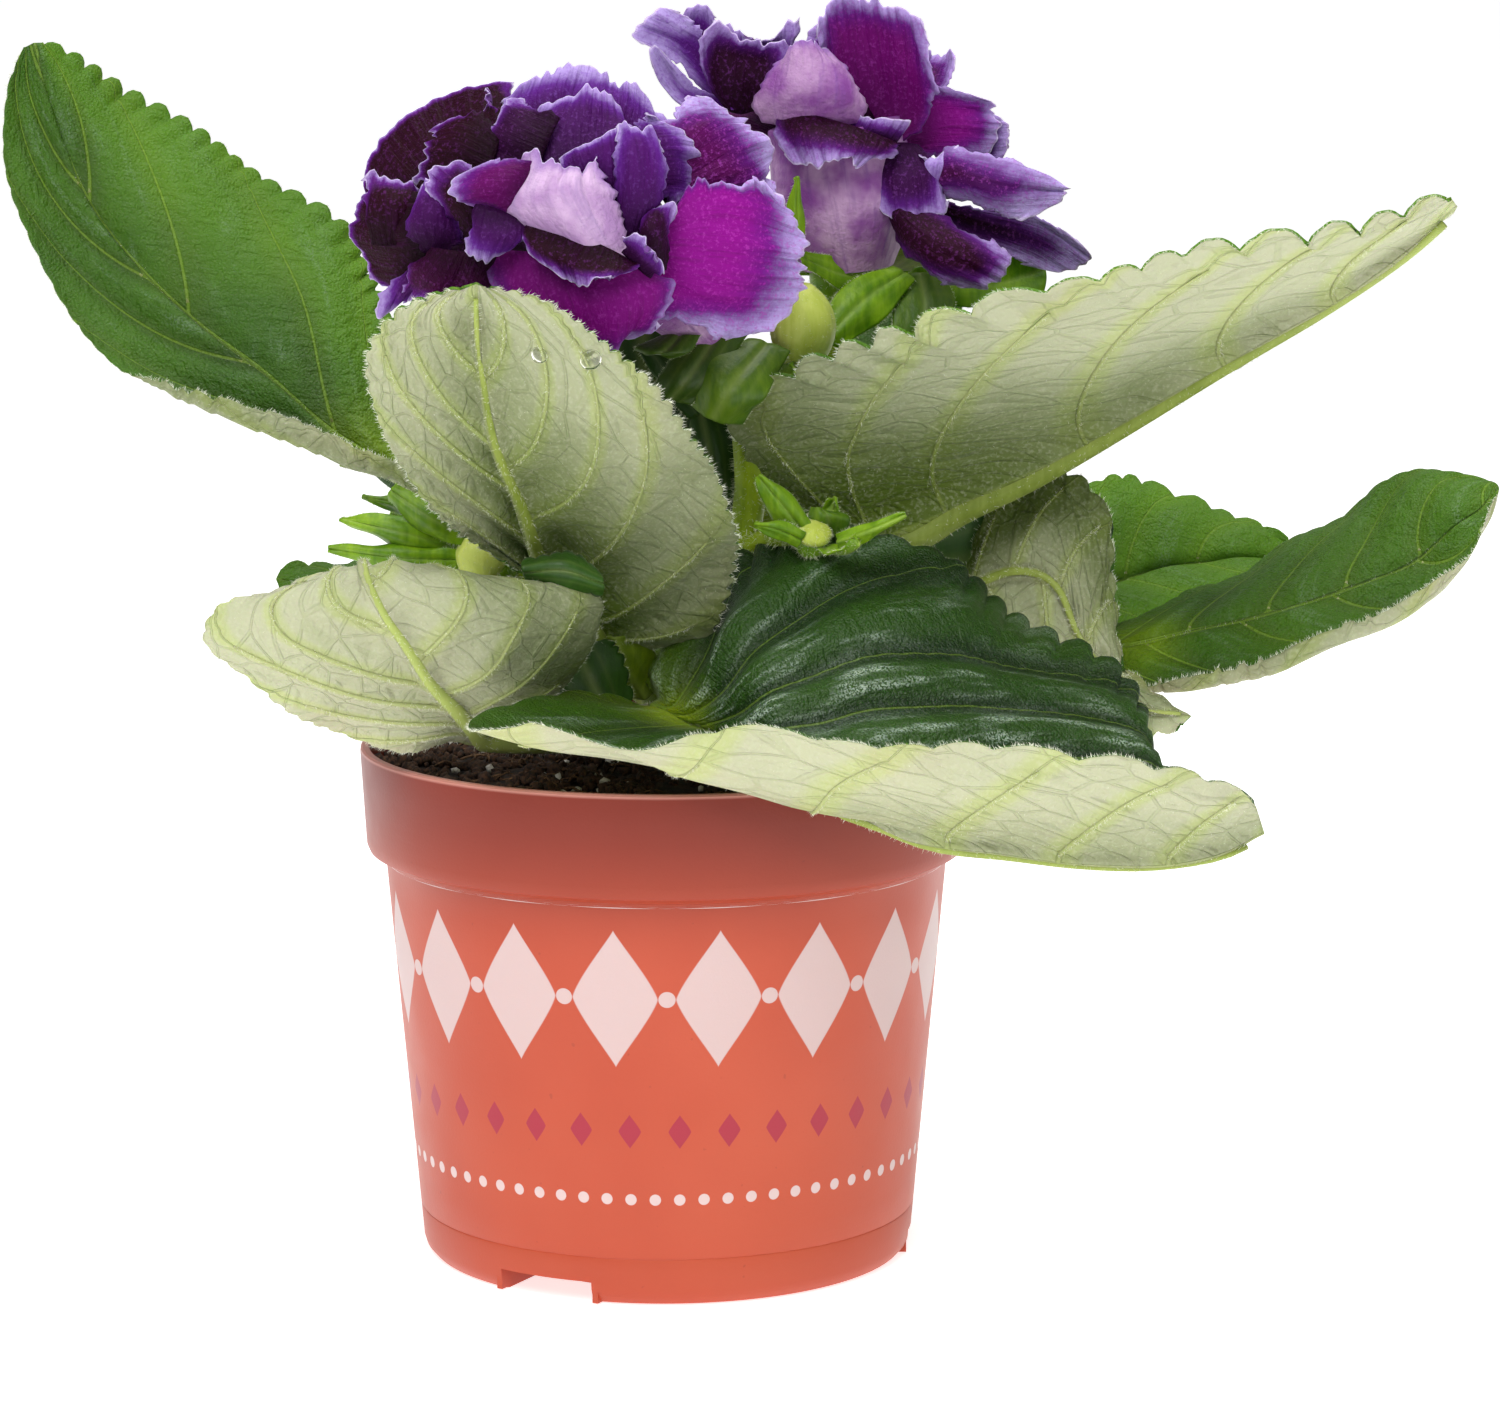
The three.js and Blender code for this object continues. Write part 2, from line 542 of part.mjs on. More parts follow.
function calyxSolid({ middle, tips, half, axis, core }) {
  const open = vec(axis).normalize();
  const sepals = tips.map((tip) => {
    const outward = vec(tip).sub(vec(middle));
    outward.addScaledVector(open, -outward.dot(open)).normalize();
    const from = vec(middle).addScaledVector(outward, core * 0.75).toArray();
    const face = open.clone().sub(outward).toArray();
    return petalSolid({ from, to: tip, half, bow: -1.5, cup: 1, face }, axis, sepalEdge, SEPAL);
  });
  return union([solidOf(new THREE.SphereGeometry(core, 8, 5).translate(...middle)), ...sepals]);
}

// ---------------------------------------------------------------- pot and soil
function potSolid() {
  const p = POT;
  const step = p.height - p.collarHeight;
  const w = p.wall;
  const profile = [
    [0, 0], [p.baseRadius, 0], [p.bodyFootRadius - 0.4, 1.8], [p.bodyFootRadius, 4.5],
    [p.bodyTopRadius, step - 2], [p.collarFootRadius - 0.8, step - 0.4], [p.collarFootRadius, step + 2],
    [p.topRadius, p.height - 0.6], [p.topRadius - 0.5, p.height],
    [p.topRadius - w - 0.6, p.height], [p.collarFootRadius - w, step + 2.4],
    [p.bodyTopRadius - w, step - 1.5], [p.bodyFootRadius - w, 4.5], [p.baseRadius - w, w],
    [0, w], [0, 0],
  ];
  const lathe = new THREE.LatheGeometry(profile.map(([x, y]) => new THREE.Vector2(x, y)), p.sides);
  let solid = solidOf(lathe.rotateX(Math.PI / 2));
  const block = (inner, outer, width, low, high, angle) => {
    const box = new THREE.BoxGeometry(outer - inner, width, high - low);
    return solidOf(box.translate((inner + outer) / 2, 0, (low + high) / 2).rotateZ(angle));
  };
  const c = CHANNEL;
  for (let i = 0; i < c.count; i++) {
    const angle = rad(c.firstAngle + (360 * i) / c.count);
    const hood = block(c.inner, p.baseRadius + 1, c.width + 2 * w, 0, c.height + w, angle);
    const recess = block(c.inner + w, p.bodyFootRadius + 4, c.width, -1, c.height, angle);
    const drill = new THREE.CylinderGeometry(c.holeRadius, c.holeRadius, 20, 12).rotateX(Math.PI / 2);
    const hole = solidOf(drill.translate((c.inner + p.baseRadius) / 2 + w, 0, c.height).rotateZ(angle));
    solid = solid.add(hood).subtract(recess).subtract(hole);
  }
  return solid;
}

function soilSolid() {
  const p = POT;
  const step = p.height - p.collarHeight;
  const random = seeded(7);
  const bumps = Array.from({ length: 9 }, () => [6 * random() + 2, 6 * random() - 3, 6.3 * random()]);
  const level = (x, y, share) => {
    const rough = bumps.reduce((sum, [a, b, phase]) => sum + Math.sin((a * x + b * y) / 40 + phase), 0);
    return SOIL.middleLevel + (SOIL.rimLevel - SOIL.middleLevel) * share * share + (SOIL.bump * rough) / 3;
  };
  const bed = CHANNEL.height + p.wall + GAP;
  const profile = [
    [p.bodyFootRadius - p.wall - GAP, bed],
    [p.bodyTopRadius - p.wall - GAP, step - 1.5], [p.collarFootRadius - p.wall - GAP, step + 2.9],
  ];
  const rim = p.topRadius - p.wall - 1.3 - GAP;
  const positions = [0, 0, bed];
  const index = [];
  const ringAt = (radius, height) => {
    for (let j = 0; j < SOIL.sides; j++) {
      const a = (2 * Math.PI * j) / SOIL.sides;
      const [x, y] = [radius * Math.cos(a), radius * Math.sin(a)];
      positions.push(x, y, typeof height === "number" ? height : height(x, y));
    }
  };
  for (const [radius, height] of profile) ringAt(radius, height);
  for (let i = SOIL.rings; i > 0; i--) {
    const share = i / SOIL.rings;
    ringAt(rim * share, (x, y) => level(x, y, share));
  }
  const rings = profile.length + SOIL.rings;
  const top = positions.length / 3;
  positions.push(0, 0, level(0, 0, 0));
  for (let j = 0; j < SOIL.sides; j++) {
    const k = (j + 1) % SOIL.sides;
    index.push(0, 1 + k, 1 + j);
    for (let i = 0; i + 1 < rings; i++) {
      const [a, b] = [1 + i * SOIL.sides + j, 1 + i * SOIL.sides + k];
      index.push(a, b, a + SOIL.sides, b, b + SOIL.sides, a + SOIL.sides);
    }
    const last = 1 + (rings - 1) * SOIL.sides;
    index.push(last + j, last + k, top);
  }
  const geometry = new THREE.BufferGeometry();
  geometry.setAttribute("position", new THREE.Float32BufferAttribute(positions, 3));
  geometry.setIndex(index);
  return solidOf(geometry);
}

// ---------------------------------------------------------------- the whole plant
const MATERIALS = {
  terracotta_plastic: { color: 0xc85a42, roughness: 0.42 },
  soil: { color: 0x2b1c14, roughness: 1 },
  leaf: { color: 0x2f6a24, roughness: 0.6 },
  stem: { color: 0x7f9a32, roughness: 0.6 },
  sepal: { color: 0x5d9a2c, roughness: 0.6 },
  petal: { color: 0x5b1a8a, roughness: 0.7 },
  bud: { color: 0xc3cf7c, roughness: 0.6 },
};
const plant = new THREE.Group();
function addNode(name, solid, material) {
  const look = new THREE.MeshStandardMaterial({ metalness: 0, ...MATERIALS[material] });
  const mesh = new THREE.Mesh(geometryOf(solid, name), look);
  mesh.name = name;
  plant.add(mesh);
}

// The stem with its flower stalks, each face moved out by grow.
const trunkPoints = [STEM.foot, (STEM.foot + STEM.top) / 2, STEM.top].map((z) => vec([0, 0, z]));
const stemSolid = (grow) => {
  const radiusAt = (s) => STEM.footRadius + (STEM.topRadius - STEM.footRadius) * s + grow;
  const trunk = stalk(trunkPoints, radiusAt, STEM.sides);
  const stalks = STALKS.map(({ points, radii }) =>
    stalk(rail(points).getPoints(5), (s) => radii[0] + (radii[1] - radii[0]) * s + grow, 6),
  );
  return union([trunk, ...stalks]);
};

const stemAndGap = stemSolid(GAP);
addNode("pot", potSolid(), "terracotta_plastic");
addNode("soil", soilSolid().subtract(stemAndGap), "soil");
addNode("stem", stemSolid(0), "stem");
for (const leaf of LEAVES) addNode(leaf.name, leafSolid(leaf, stemAndGap), "leaf");
const blooms = ["bloom_front", "bloom_back"];
for (const name of blooms) addNode(name, bloomSolid(name).subtract(stemAndGap), "petal");
for (const bud of BUDS) addNode(bud.name, budSolid(bud, 0).subtract(stemAndGap), "bud");
const round = union([
  stemAndGap,
  ...blooms.map((name) => bellSolid(BELLS[name], GAP)),
  ...BUDS.map((bud) => budSolid(bud, GAP)),
]);
for (const calyx of CALYXES) addNode(calyx.name, calyxSolid(calyx).subtract(round), "sepal");

export default plant;
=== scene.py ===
"""A double-flowered gloxinia in its nursery pot: fine pieces over the CAD model's solids."""

import itertools
import math

import bpy
import numpy as np
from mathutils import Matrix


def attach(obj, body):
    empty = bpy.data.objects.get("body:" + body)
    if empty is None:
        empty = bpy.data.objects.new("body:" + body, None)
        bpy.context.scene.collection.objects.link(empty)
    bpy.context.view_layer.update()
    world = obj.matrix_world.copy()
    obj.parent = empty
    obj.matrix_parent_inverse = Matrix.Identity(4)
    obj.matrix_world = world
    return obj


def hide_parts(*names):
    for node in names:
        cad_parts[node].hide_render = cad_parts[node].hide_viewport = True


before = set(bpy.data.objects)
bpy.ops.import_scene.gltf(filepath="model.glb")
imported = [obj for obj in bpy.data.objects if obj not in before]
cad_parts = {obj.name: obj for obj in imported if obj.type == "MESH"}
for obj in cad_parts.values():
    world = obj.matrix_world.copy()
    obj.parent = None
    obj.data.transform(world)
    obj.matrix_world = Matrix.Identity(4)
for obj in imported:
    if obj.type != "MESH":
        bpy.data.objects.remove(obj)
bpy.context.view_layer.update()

MM = 0.001

# ---------------------------------------------------------------- the plant's shapes, in millimetres
# blade: cross-sections from base to tip, each [left margin, midrib, right margin] seen from above, tip away.
# petiole: points from the stem to the blade. bulge: how far each half bows up from the straight line.
# teeth, tooth: how many scallops the left and right margins have, and how deep they are.
# shade: how dark the blade is at its left margin, midrib and right margin, at its base and at its tip:
# painted shade, with some of the blade's own darker green.
# rib: the midrib's radius at base and tip. rolls: margins rolled up, each [side, from, to, width, radius].
# left, right: the side veins of each half, as their places along the leaf at the midrib and at the margin.
# bend: how late they turn to the tip. quilt: how strongly each half swells between them.
# tone: from dark to light green. grid: points along and across.
# BACK_LEAF: what the two leaves at the back, which the photograph hides, have in common.
BACK_LEAF = {
    "bulge": [2, 2], "teeth": [16, 16], "tooth": [1.5, 1.5],
    "shade": [[0.5, 0.6, 0.5], [0.3, 0.3, 0.3]],
    "rib": [2.2, 0.5], "rolls": [],
    "left": [[0.04, 0.3], [0.22, 0.5], [0.42, 0.7], [0.65, 0.88]],
    "right": [[0.04, 0.3], [0.22, 0.5], [0.42, 0.7], [0.65, 0.88]],
    "bend": 1.3, "quilt": [0.9, 0.9], "tone": 0.4, "grid": [100, 46],
}
LEAVES = [
    {
        "name": "leaf_left_high",
        "petiole": [[-1, 1, 113], [-20, 3, 125]],
        "bulge": [-3, 2], "teeth": [30, 27], "tooth": [0.4, 1.9],
        "shade": [[0.6, 0.8, 0.15], [0.75, 0.75, 0.25]],
        "rib": [1.9, 0.4], "rolls": [[-1, 0.0, 0.5, 6.5, 2.2]],
        "left": [[0.0, 0.38], [0.17, 0.6], [0.37, 0.82], [0.58, 1.0], [0.76, 1.1]],
        "right": [[0.0, 0.42], [0.2, 0.66], [0.5, 0.9], [0.74, 1.08]],
        "bend": 1.12, "quilt": [1.3, 0.5], "tone": 0.62, "grid": [180, 62],
        "blade": [
            [[-41, 2, 145], [-42, 5, 149], [-42, 9, 152]],
            [[-52, -2, 151], [-54, 7, 155], [-51, 20, 166]],
            [[-65, -2, 155], [-66, 9, 162], [-57, 26, 186]],
            [[-89, 4, 162], [-79, 13, 173], [-64, 32, 199]],
            [[-109, 12, 175], [-92, 18, 182], [-80, 36, 209]],
            [[-123, 20, 194], [-104, 23, 193], [-95, 38, 219]],
            [[-130, 26, 212], [-113, 27, 204], [-109, 38, 227]],
            [[-130, 31, 226], [-120, 30, 220], [-118, 36, 233]],
            [[-127, 33, 235], [-125, 33, 236], [-123, 34, 236]],
        ],
    },
    {
        "name": "leaf_front_left_high",
        "petiole": [[0, -1, 114.5], [-6, -8.5, 118]],
        "bulge": [-3, 1], "teeth": [38, 30], "tooth": [1.3, 0.9],
        "shade": [[0.7, 1.25, 0.75], [0.3, 0.4, 0.12]],
        "rib": [2.6, 0.5], "rolls": [],
        "left": [[0.0, 0.2], [0.08, 0.42], [0.22, 0.78], [0.42, 0.95], [0.59, 1.2], [0.8, 1.3]],
        "right": [[0.12, 0.5], [0.33, 0.68], [0.5, 0.86], [0.64, 1.0], [0.8, 1.08]],
        "bend": 1.5, "quilt": [0.9, 2.0], "tone": 0.55, "grid": [170, 70],
        "blade": [
            [[-8, -15, 121], [-11, -15, 122], [-15, -16, 126]],
            [[7, -18, 124], [-17, -20, 131], [-23, -24, 135]],
            [[13, -30, 142], [-23, -27, 140], [-35, -34, 144]],
            [[10, -44, 156], [-27, -40, 154], [-46, -46, 156]],
            [[3, -56, 169], [-31, -52, 166], [-53, -55, 172]],
            [[-7, -62, 181], [-33, -57, 178], [-54, -58, 182]],
            [[-19, -66, 191], [-34, -61, 188], [-49, -62, 190]],
            [[-32, -65, 195], [-34, -65, 196], [-37, -65, 195]],
        ],
    },
    {
        "name": "leaf_right_high",
        "petiole": [[2, 0, 118], [22, 4, 128]],
        "bulge": [2, -2], "teeth": [20, 18], "tooth": [0.5, 3.0],
        "shade": [[0.8, 1.15, 1.25], [0.2, 0.2, -1.25]],
        "rib": [4.0, 0.9], "rolls": [],
        "left": [[0.1, 0.4], [0.28, 0.55], [0.45, 0.7], [0.62, 0.83], [0.8, 0.95]],
        "right": [[-0.08, 0.26], [0.0, 0.47], [0.14, 0.64], [0.37, 0.8], [0.6, 0.9], [0.78, 0.98]],
        "bend": 1.4, "quilt": [0.8, 0.5], "tone": 0.55, "grid": [190, 70],
        "blade": [
            [[41, 8, 136], [40, 4, 138], [36, 2, 141]],
            [[45, 16, 137], [43, 3, 141], [22, -2, 151]],
            [[53, 24, 140], [49, 2, 144], [13, -11, 166]],
            [[63, 30, 143], [57, 0, 149], [26, -22, 176]],
            [[75, 32, 150], [71, -4, 156], [47, -32, 185]],
            [[92, 32, 159], [88, -8, 166], [71, -40, 193]],
            [[111, 28, 170], [106, -12, 177], [93, -40, 198]],
            [[130, 16, 184], [125, -15, 188], [115, -36, 202]],
            [[143, 0, 196], [140, -17, 198], [134, -30, 204]],
            [[150, -15, 205], [150, -20, 207], [148, -24, 209]],
        ],
    },
    {
        "name": "leaf_right",
        "petiole": [[2, 1, 106], [45, 8, 111]],
        "bulge": [2, -4], "teeth": [20, 20], "tooth": [0.3, 0.3],
        "shade": [[0.5, 0.6, 0.7], [0.1, 0.15, 0.25]],
        "rib": [1.8, 0.4], "rolls": [[1, 0.05, 0.85, 4.0, 1.7]],
        "left": [[0.05, 0.36], [0.22, 0.52], [0.4, 0.68], [0.58, 0.84], [0.76, 0.97]],
        "right": [[0.0, 0.3], [0.12, 0.5], [0.34, 0.75], [0.55, 0.9], [0.75, 1.0]],
        "bend": 1.3, "quilt": [0.8, 0.8], "tone": 0.47, "grid": [150, 56],
        "blade": [
            [[85, 12, 119], [84, 8, 118], [83, 4, 117]],
            [[91, 20, 121], [91, 7, 119], [90, -8, 112]],
            [[103, 26, 125], [103, 5, 122], [106, -16, 113]],
            [[116, 29, 130], [119, 3, 126], [122, -19, 119]],
            [[127, 28, 137], [134, 2, 131], [136, -17, 125]],
            [[137, 25, 143], [146, 1, 136], [147, -13, 130]],
            [[148, 19, 152], [154, 1, 143], [155, -8, 138]],
            [[155, 12, 152], [160, 2, 147], [160, -3, 145]],
            [[162, 7, 151], [163, 4, 151], [163, 2, 150]],
        ],
    },
    {
        "name": "leaf_right_back",
        "petiole": [[2, 4, 111], [35, 15, 117]],
        "bulge": [2, 2], "teeth": [13, 13], "tooth": [1.5, 1.5],
        "shade": [[0.3, 0.3, 0.3], [0.1, 0.1, 0.1]],
        "rib": [2.0, 0.5], "rolls": [],
        "left": [[0.05, 0.3], [0.25, 0.5], [0.45, 0.7], [0.68, 0.9]],
        "right": [[0.05, 0.3], [0.25, 0.5], [0.45, 0.7], [0.68, 0.9]],
        "bend": 1.3, "quilt": [0.6, 0.6], "tone": 0.8, "grid": [110, 44],
        "blade": [
            [[69, 26, 125], [68, 22, 124], [68, 18, 122]],
            [[74, 40, 135], [77, 30, 125], [77, 18, 118]],
            [[85, 50, 144], [88, 38, 126], [88, 26, 117]],
            [[96, 56, 146], [101, 44, 129], [102, 32, 119]],
            [[108, 58, 141], [113, 48, 130], [114, 38, 123]],
            [[121, 56, 137], [123, 50, 130], [125, 44, 127]],
            [[129, 52, 133], [131, 52, 131], [130, 50, 130]],
        ],
    },
    {
        "name": "leaf_left_low",
        "petiole": [[-1, -1, 102], [-18, -14, 103]],
        "bulge": [-6, -2], "teeth": [26, 26], "tooth": [0.7, 1.0],
        "shade": [[0.85, 0.3, 0.15], [0.45, 0.25, 0.15]],
        "rib": [2.2, 0.5], "rolls": [],
        "left": [[0.03, 0.3], [0.13, 0.55], [0.27, 0.75], [0.45, 1.0], [0.7, 1.1]],
        "right": [[0.0, 0.27], [0.08, 0.48], [0.2, 0.67], [0.33, 0.88], [0.57, 1.05]],
        "bend": 1.3, "quilt": [0.8, 0.8], "tone": 0.5, "grid": [150, 74],
        "blade": [
            [[-34, -26, 108], [-36, -26, 107], [-38, -26, 106]],
            [[-23, -28, 114], [-40, -36, 114], [-50, -38, 106]],
            [[-16, -32, 121], [-44, -43, 120], [-65, -45, 112]],
            [[-13, -38, 130], [-47, -49, 126], [-77, -50, 121]],
            [[-12, -40, 134], [-50, -52, 131], [-85, -52, 129]],
            [[-15, -42, 137], [-53, -54, 136], [-82, -54, 135.5]],
            [[-27, -44, 138], [-55, -53, 139.5], [-72, -52, 138]],
            [[-42, -42, 138.5], [-56, -48, 142], [-62, -46, 140.5]],
            [[-53, -34, 137.5], [-57, -34, 137.5], [-60, -36, 137]],
        ],
    },
    {
        "name": "leaf_front",
        "petiole": [[0, -2, 104], [0, -10, 108]],
        "bulge": [1.5, -3], "teeth": [26, 16], "tooth": [2.1, 1.4],
        "shade": [[0.55, 0.5, 0.1], [0.5, 0.5, 0.1]],
        "rib": [2.4, 0.6], "rolls": [],
        "left": [[-0.02, 0.25], [0.02, 0.5], [0.08, 0.8], [0.22, 0.98], [0.45, 1.08], [0.68, 1.12]],
        "right": [[0.1, 0.3], [0.25, 0.5], [0.42, 0.66], [0.58, 0.8], [0.72, 0.92], [0.86, 1.0]],
        "bend": 1.1, "quilt": [2.0, 0.4], "tone": 0.14, "grid": [190, 80],
        "blade": [
            [[-1, -15, 112], [-3, -17, 111], [-5, -19, 111]],
            [[-3, -11, 117], [6, -30, 109], [-20, -36, 116]],
            [[5, -9, 127.5], [15, -46, 108], [-31, -50, 116]],
            [[13, -6, 137], [23, -62, 106], [-36, -60, 113]],
            [[27, -3, 142], [31, -66, 101], [-23, -68, 116]],
            [[40, -4, 142], [39, -67, 98], [-5, -72, 112]],
            [[55, -6, 137], [50, -67, 94], [14, -76, 116]],
            [[67, -9, 127], [63, -66, 92], [37, -80, 114]],
            [[83, -16, 119], [76, -65, 90], [60, -81, 113]],
            [[90, -25, 113], [89, -63, 89], [80, -78, 111]],
            [[93, -38, 103], [102, -60, 90], [97, -72, 106]],
            [[105, -52, 96], [111, -56, 93], [108, -63, 101]],
        ],
    },
    {
        "name": "leaf_right_middle",
        "petiole": [[2, 1, 114], [30, 6, 122]],
        "bulge": [-1, -1], "teeth": [13, 13], "tooth": [1.5, 1.5],
        "shade": [[0.5, 0.62, 1.05], [0.2, 0.28, 0.6]],
        "rib": [1.4, 0.4], "rolls": [],
        "left": [[0.1, 0.3], [0.3, 0.5], [0.5, 0.7], [0.75, 0.9]],
        "right": [[0.02, 0.22], [0.2, 0.4], [0.36, 0.52], [0.56, 0.7], [0.75, 0.9]],
        "bend": 1.3, "quilt": [0.7, 0.7], "tone": 0.5, "grid": [110, 50],
        "blade": [
            [[59, 8, 125], [59, 8, 128], [58, 8, 130]],
            [[63, 4, 120], [64, 5, 132], [63, 10, 143]],
            [[68, 0, 116], [70, 2, 134], [73, 10, 152]],
            [[74, -4, 112], [76, -1, 132], [82, 6, 151]],
            [[79, -8, 108], [80, -4, 124], [87, 2, 143]],
            [[84, -14, 106], [85, -10, 117], [87, -4, 131]],
            [[91, -18, 105], [92, -16, 110], [88, -10, 118]],
            [[99, -20, 107], [101, -20, 109], [98, -18, 110]],
        ],
    },
    {
        "name": "leaf_left_back",
        "petiole": [[-2, 3, 107], [-12, 12, 114]],
        "bulge": [2, 2], "teeth": [10, 10], "tooth": [1.3, 1.3],
        "shade": [[0.3, 0.3, 0.3], [0.2, 0.2, 0.2]],
        "rib": [1.8, 0.5], "rolls": [],
        "left": [[0.05, 0.3], [0.28, 0.52], [0.5, 0.74], [0.75, 0.93]],
        "right": [[0.05, 0.3], [0.28, 0.52], [0.5, 0.74], [0.75, 0.93]],
        "bend": 1.3, "quilt": [0.7, 0.7], "tone": 0.5, "grid": [90, 40],
        "blade": [
            [[-25, 16, 120], [-25, 20, 121], [-25, 24, 122]],
            [[-39, 20, 118], [-39, 30, 122], [-40, 38, 128]],
            [[-53, 26, 117], [-54, 34, 124], [-54, 44, 129]],
            [[-66, 30, 122], [-66, 36, 126], [-67, 44, 130]],
            [[-78, 36, 126], [-79, 38, 128], [-78, 40, 130]],
        ],
    },
    {
        "name": "leaf_back_left",
        "petiole": [[-2, 3, 121], [-9, 22, 128]],
        **BACK_LEAF,
        "blade": [
            [[-16, 33, 133], [-14, 35, 134], [-11, 36, 134]],
            [[-34, 41, 139], [-18, 48, 139], [0, 53, 142]],
            [[-44, 56, 148], [-23, 64, 146], [-3, 71, 150]],
            [[-48, 73, 157], [-28, 81, 153], [-9, 88, 157]],
            [[-46, 91, 162], [-33, 98, 158], [-19, 102, 161]],
            [[-40, 109, 163], [-38, 111, 162], [-35, 112, 163]],
        ],
    },
    {
        "name": "leaf_back_right",
        "petiole": [[2, 3, 120], [14, 22, 131]],
        **BACK_LEAF,
        "blade": [
            [[20, 36, 139], [23, 35, 138], [25, 33, 139]],
            [[16, 52, 150], [31, 47, 148], [43, 38, 151]],
            [[20, 68, 164], [38, 60, 160], [53, 49, 165]],
            [[31, 83, 176], [46, 74, 172], [60, 63, 177]],
            [[43, 93, 185], [54, 86, 182], [64, 78, 186]],
            [[58, 97, 189], [60, 96, 189], [62, 94, 189]],
        ],
    },
]

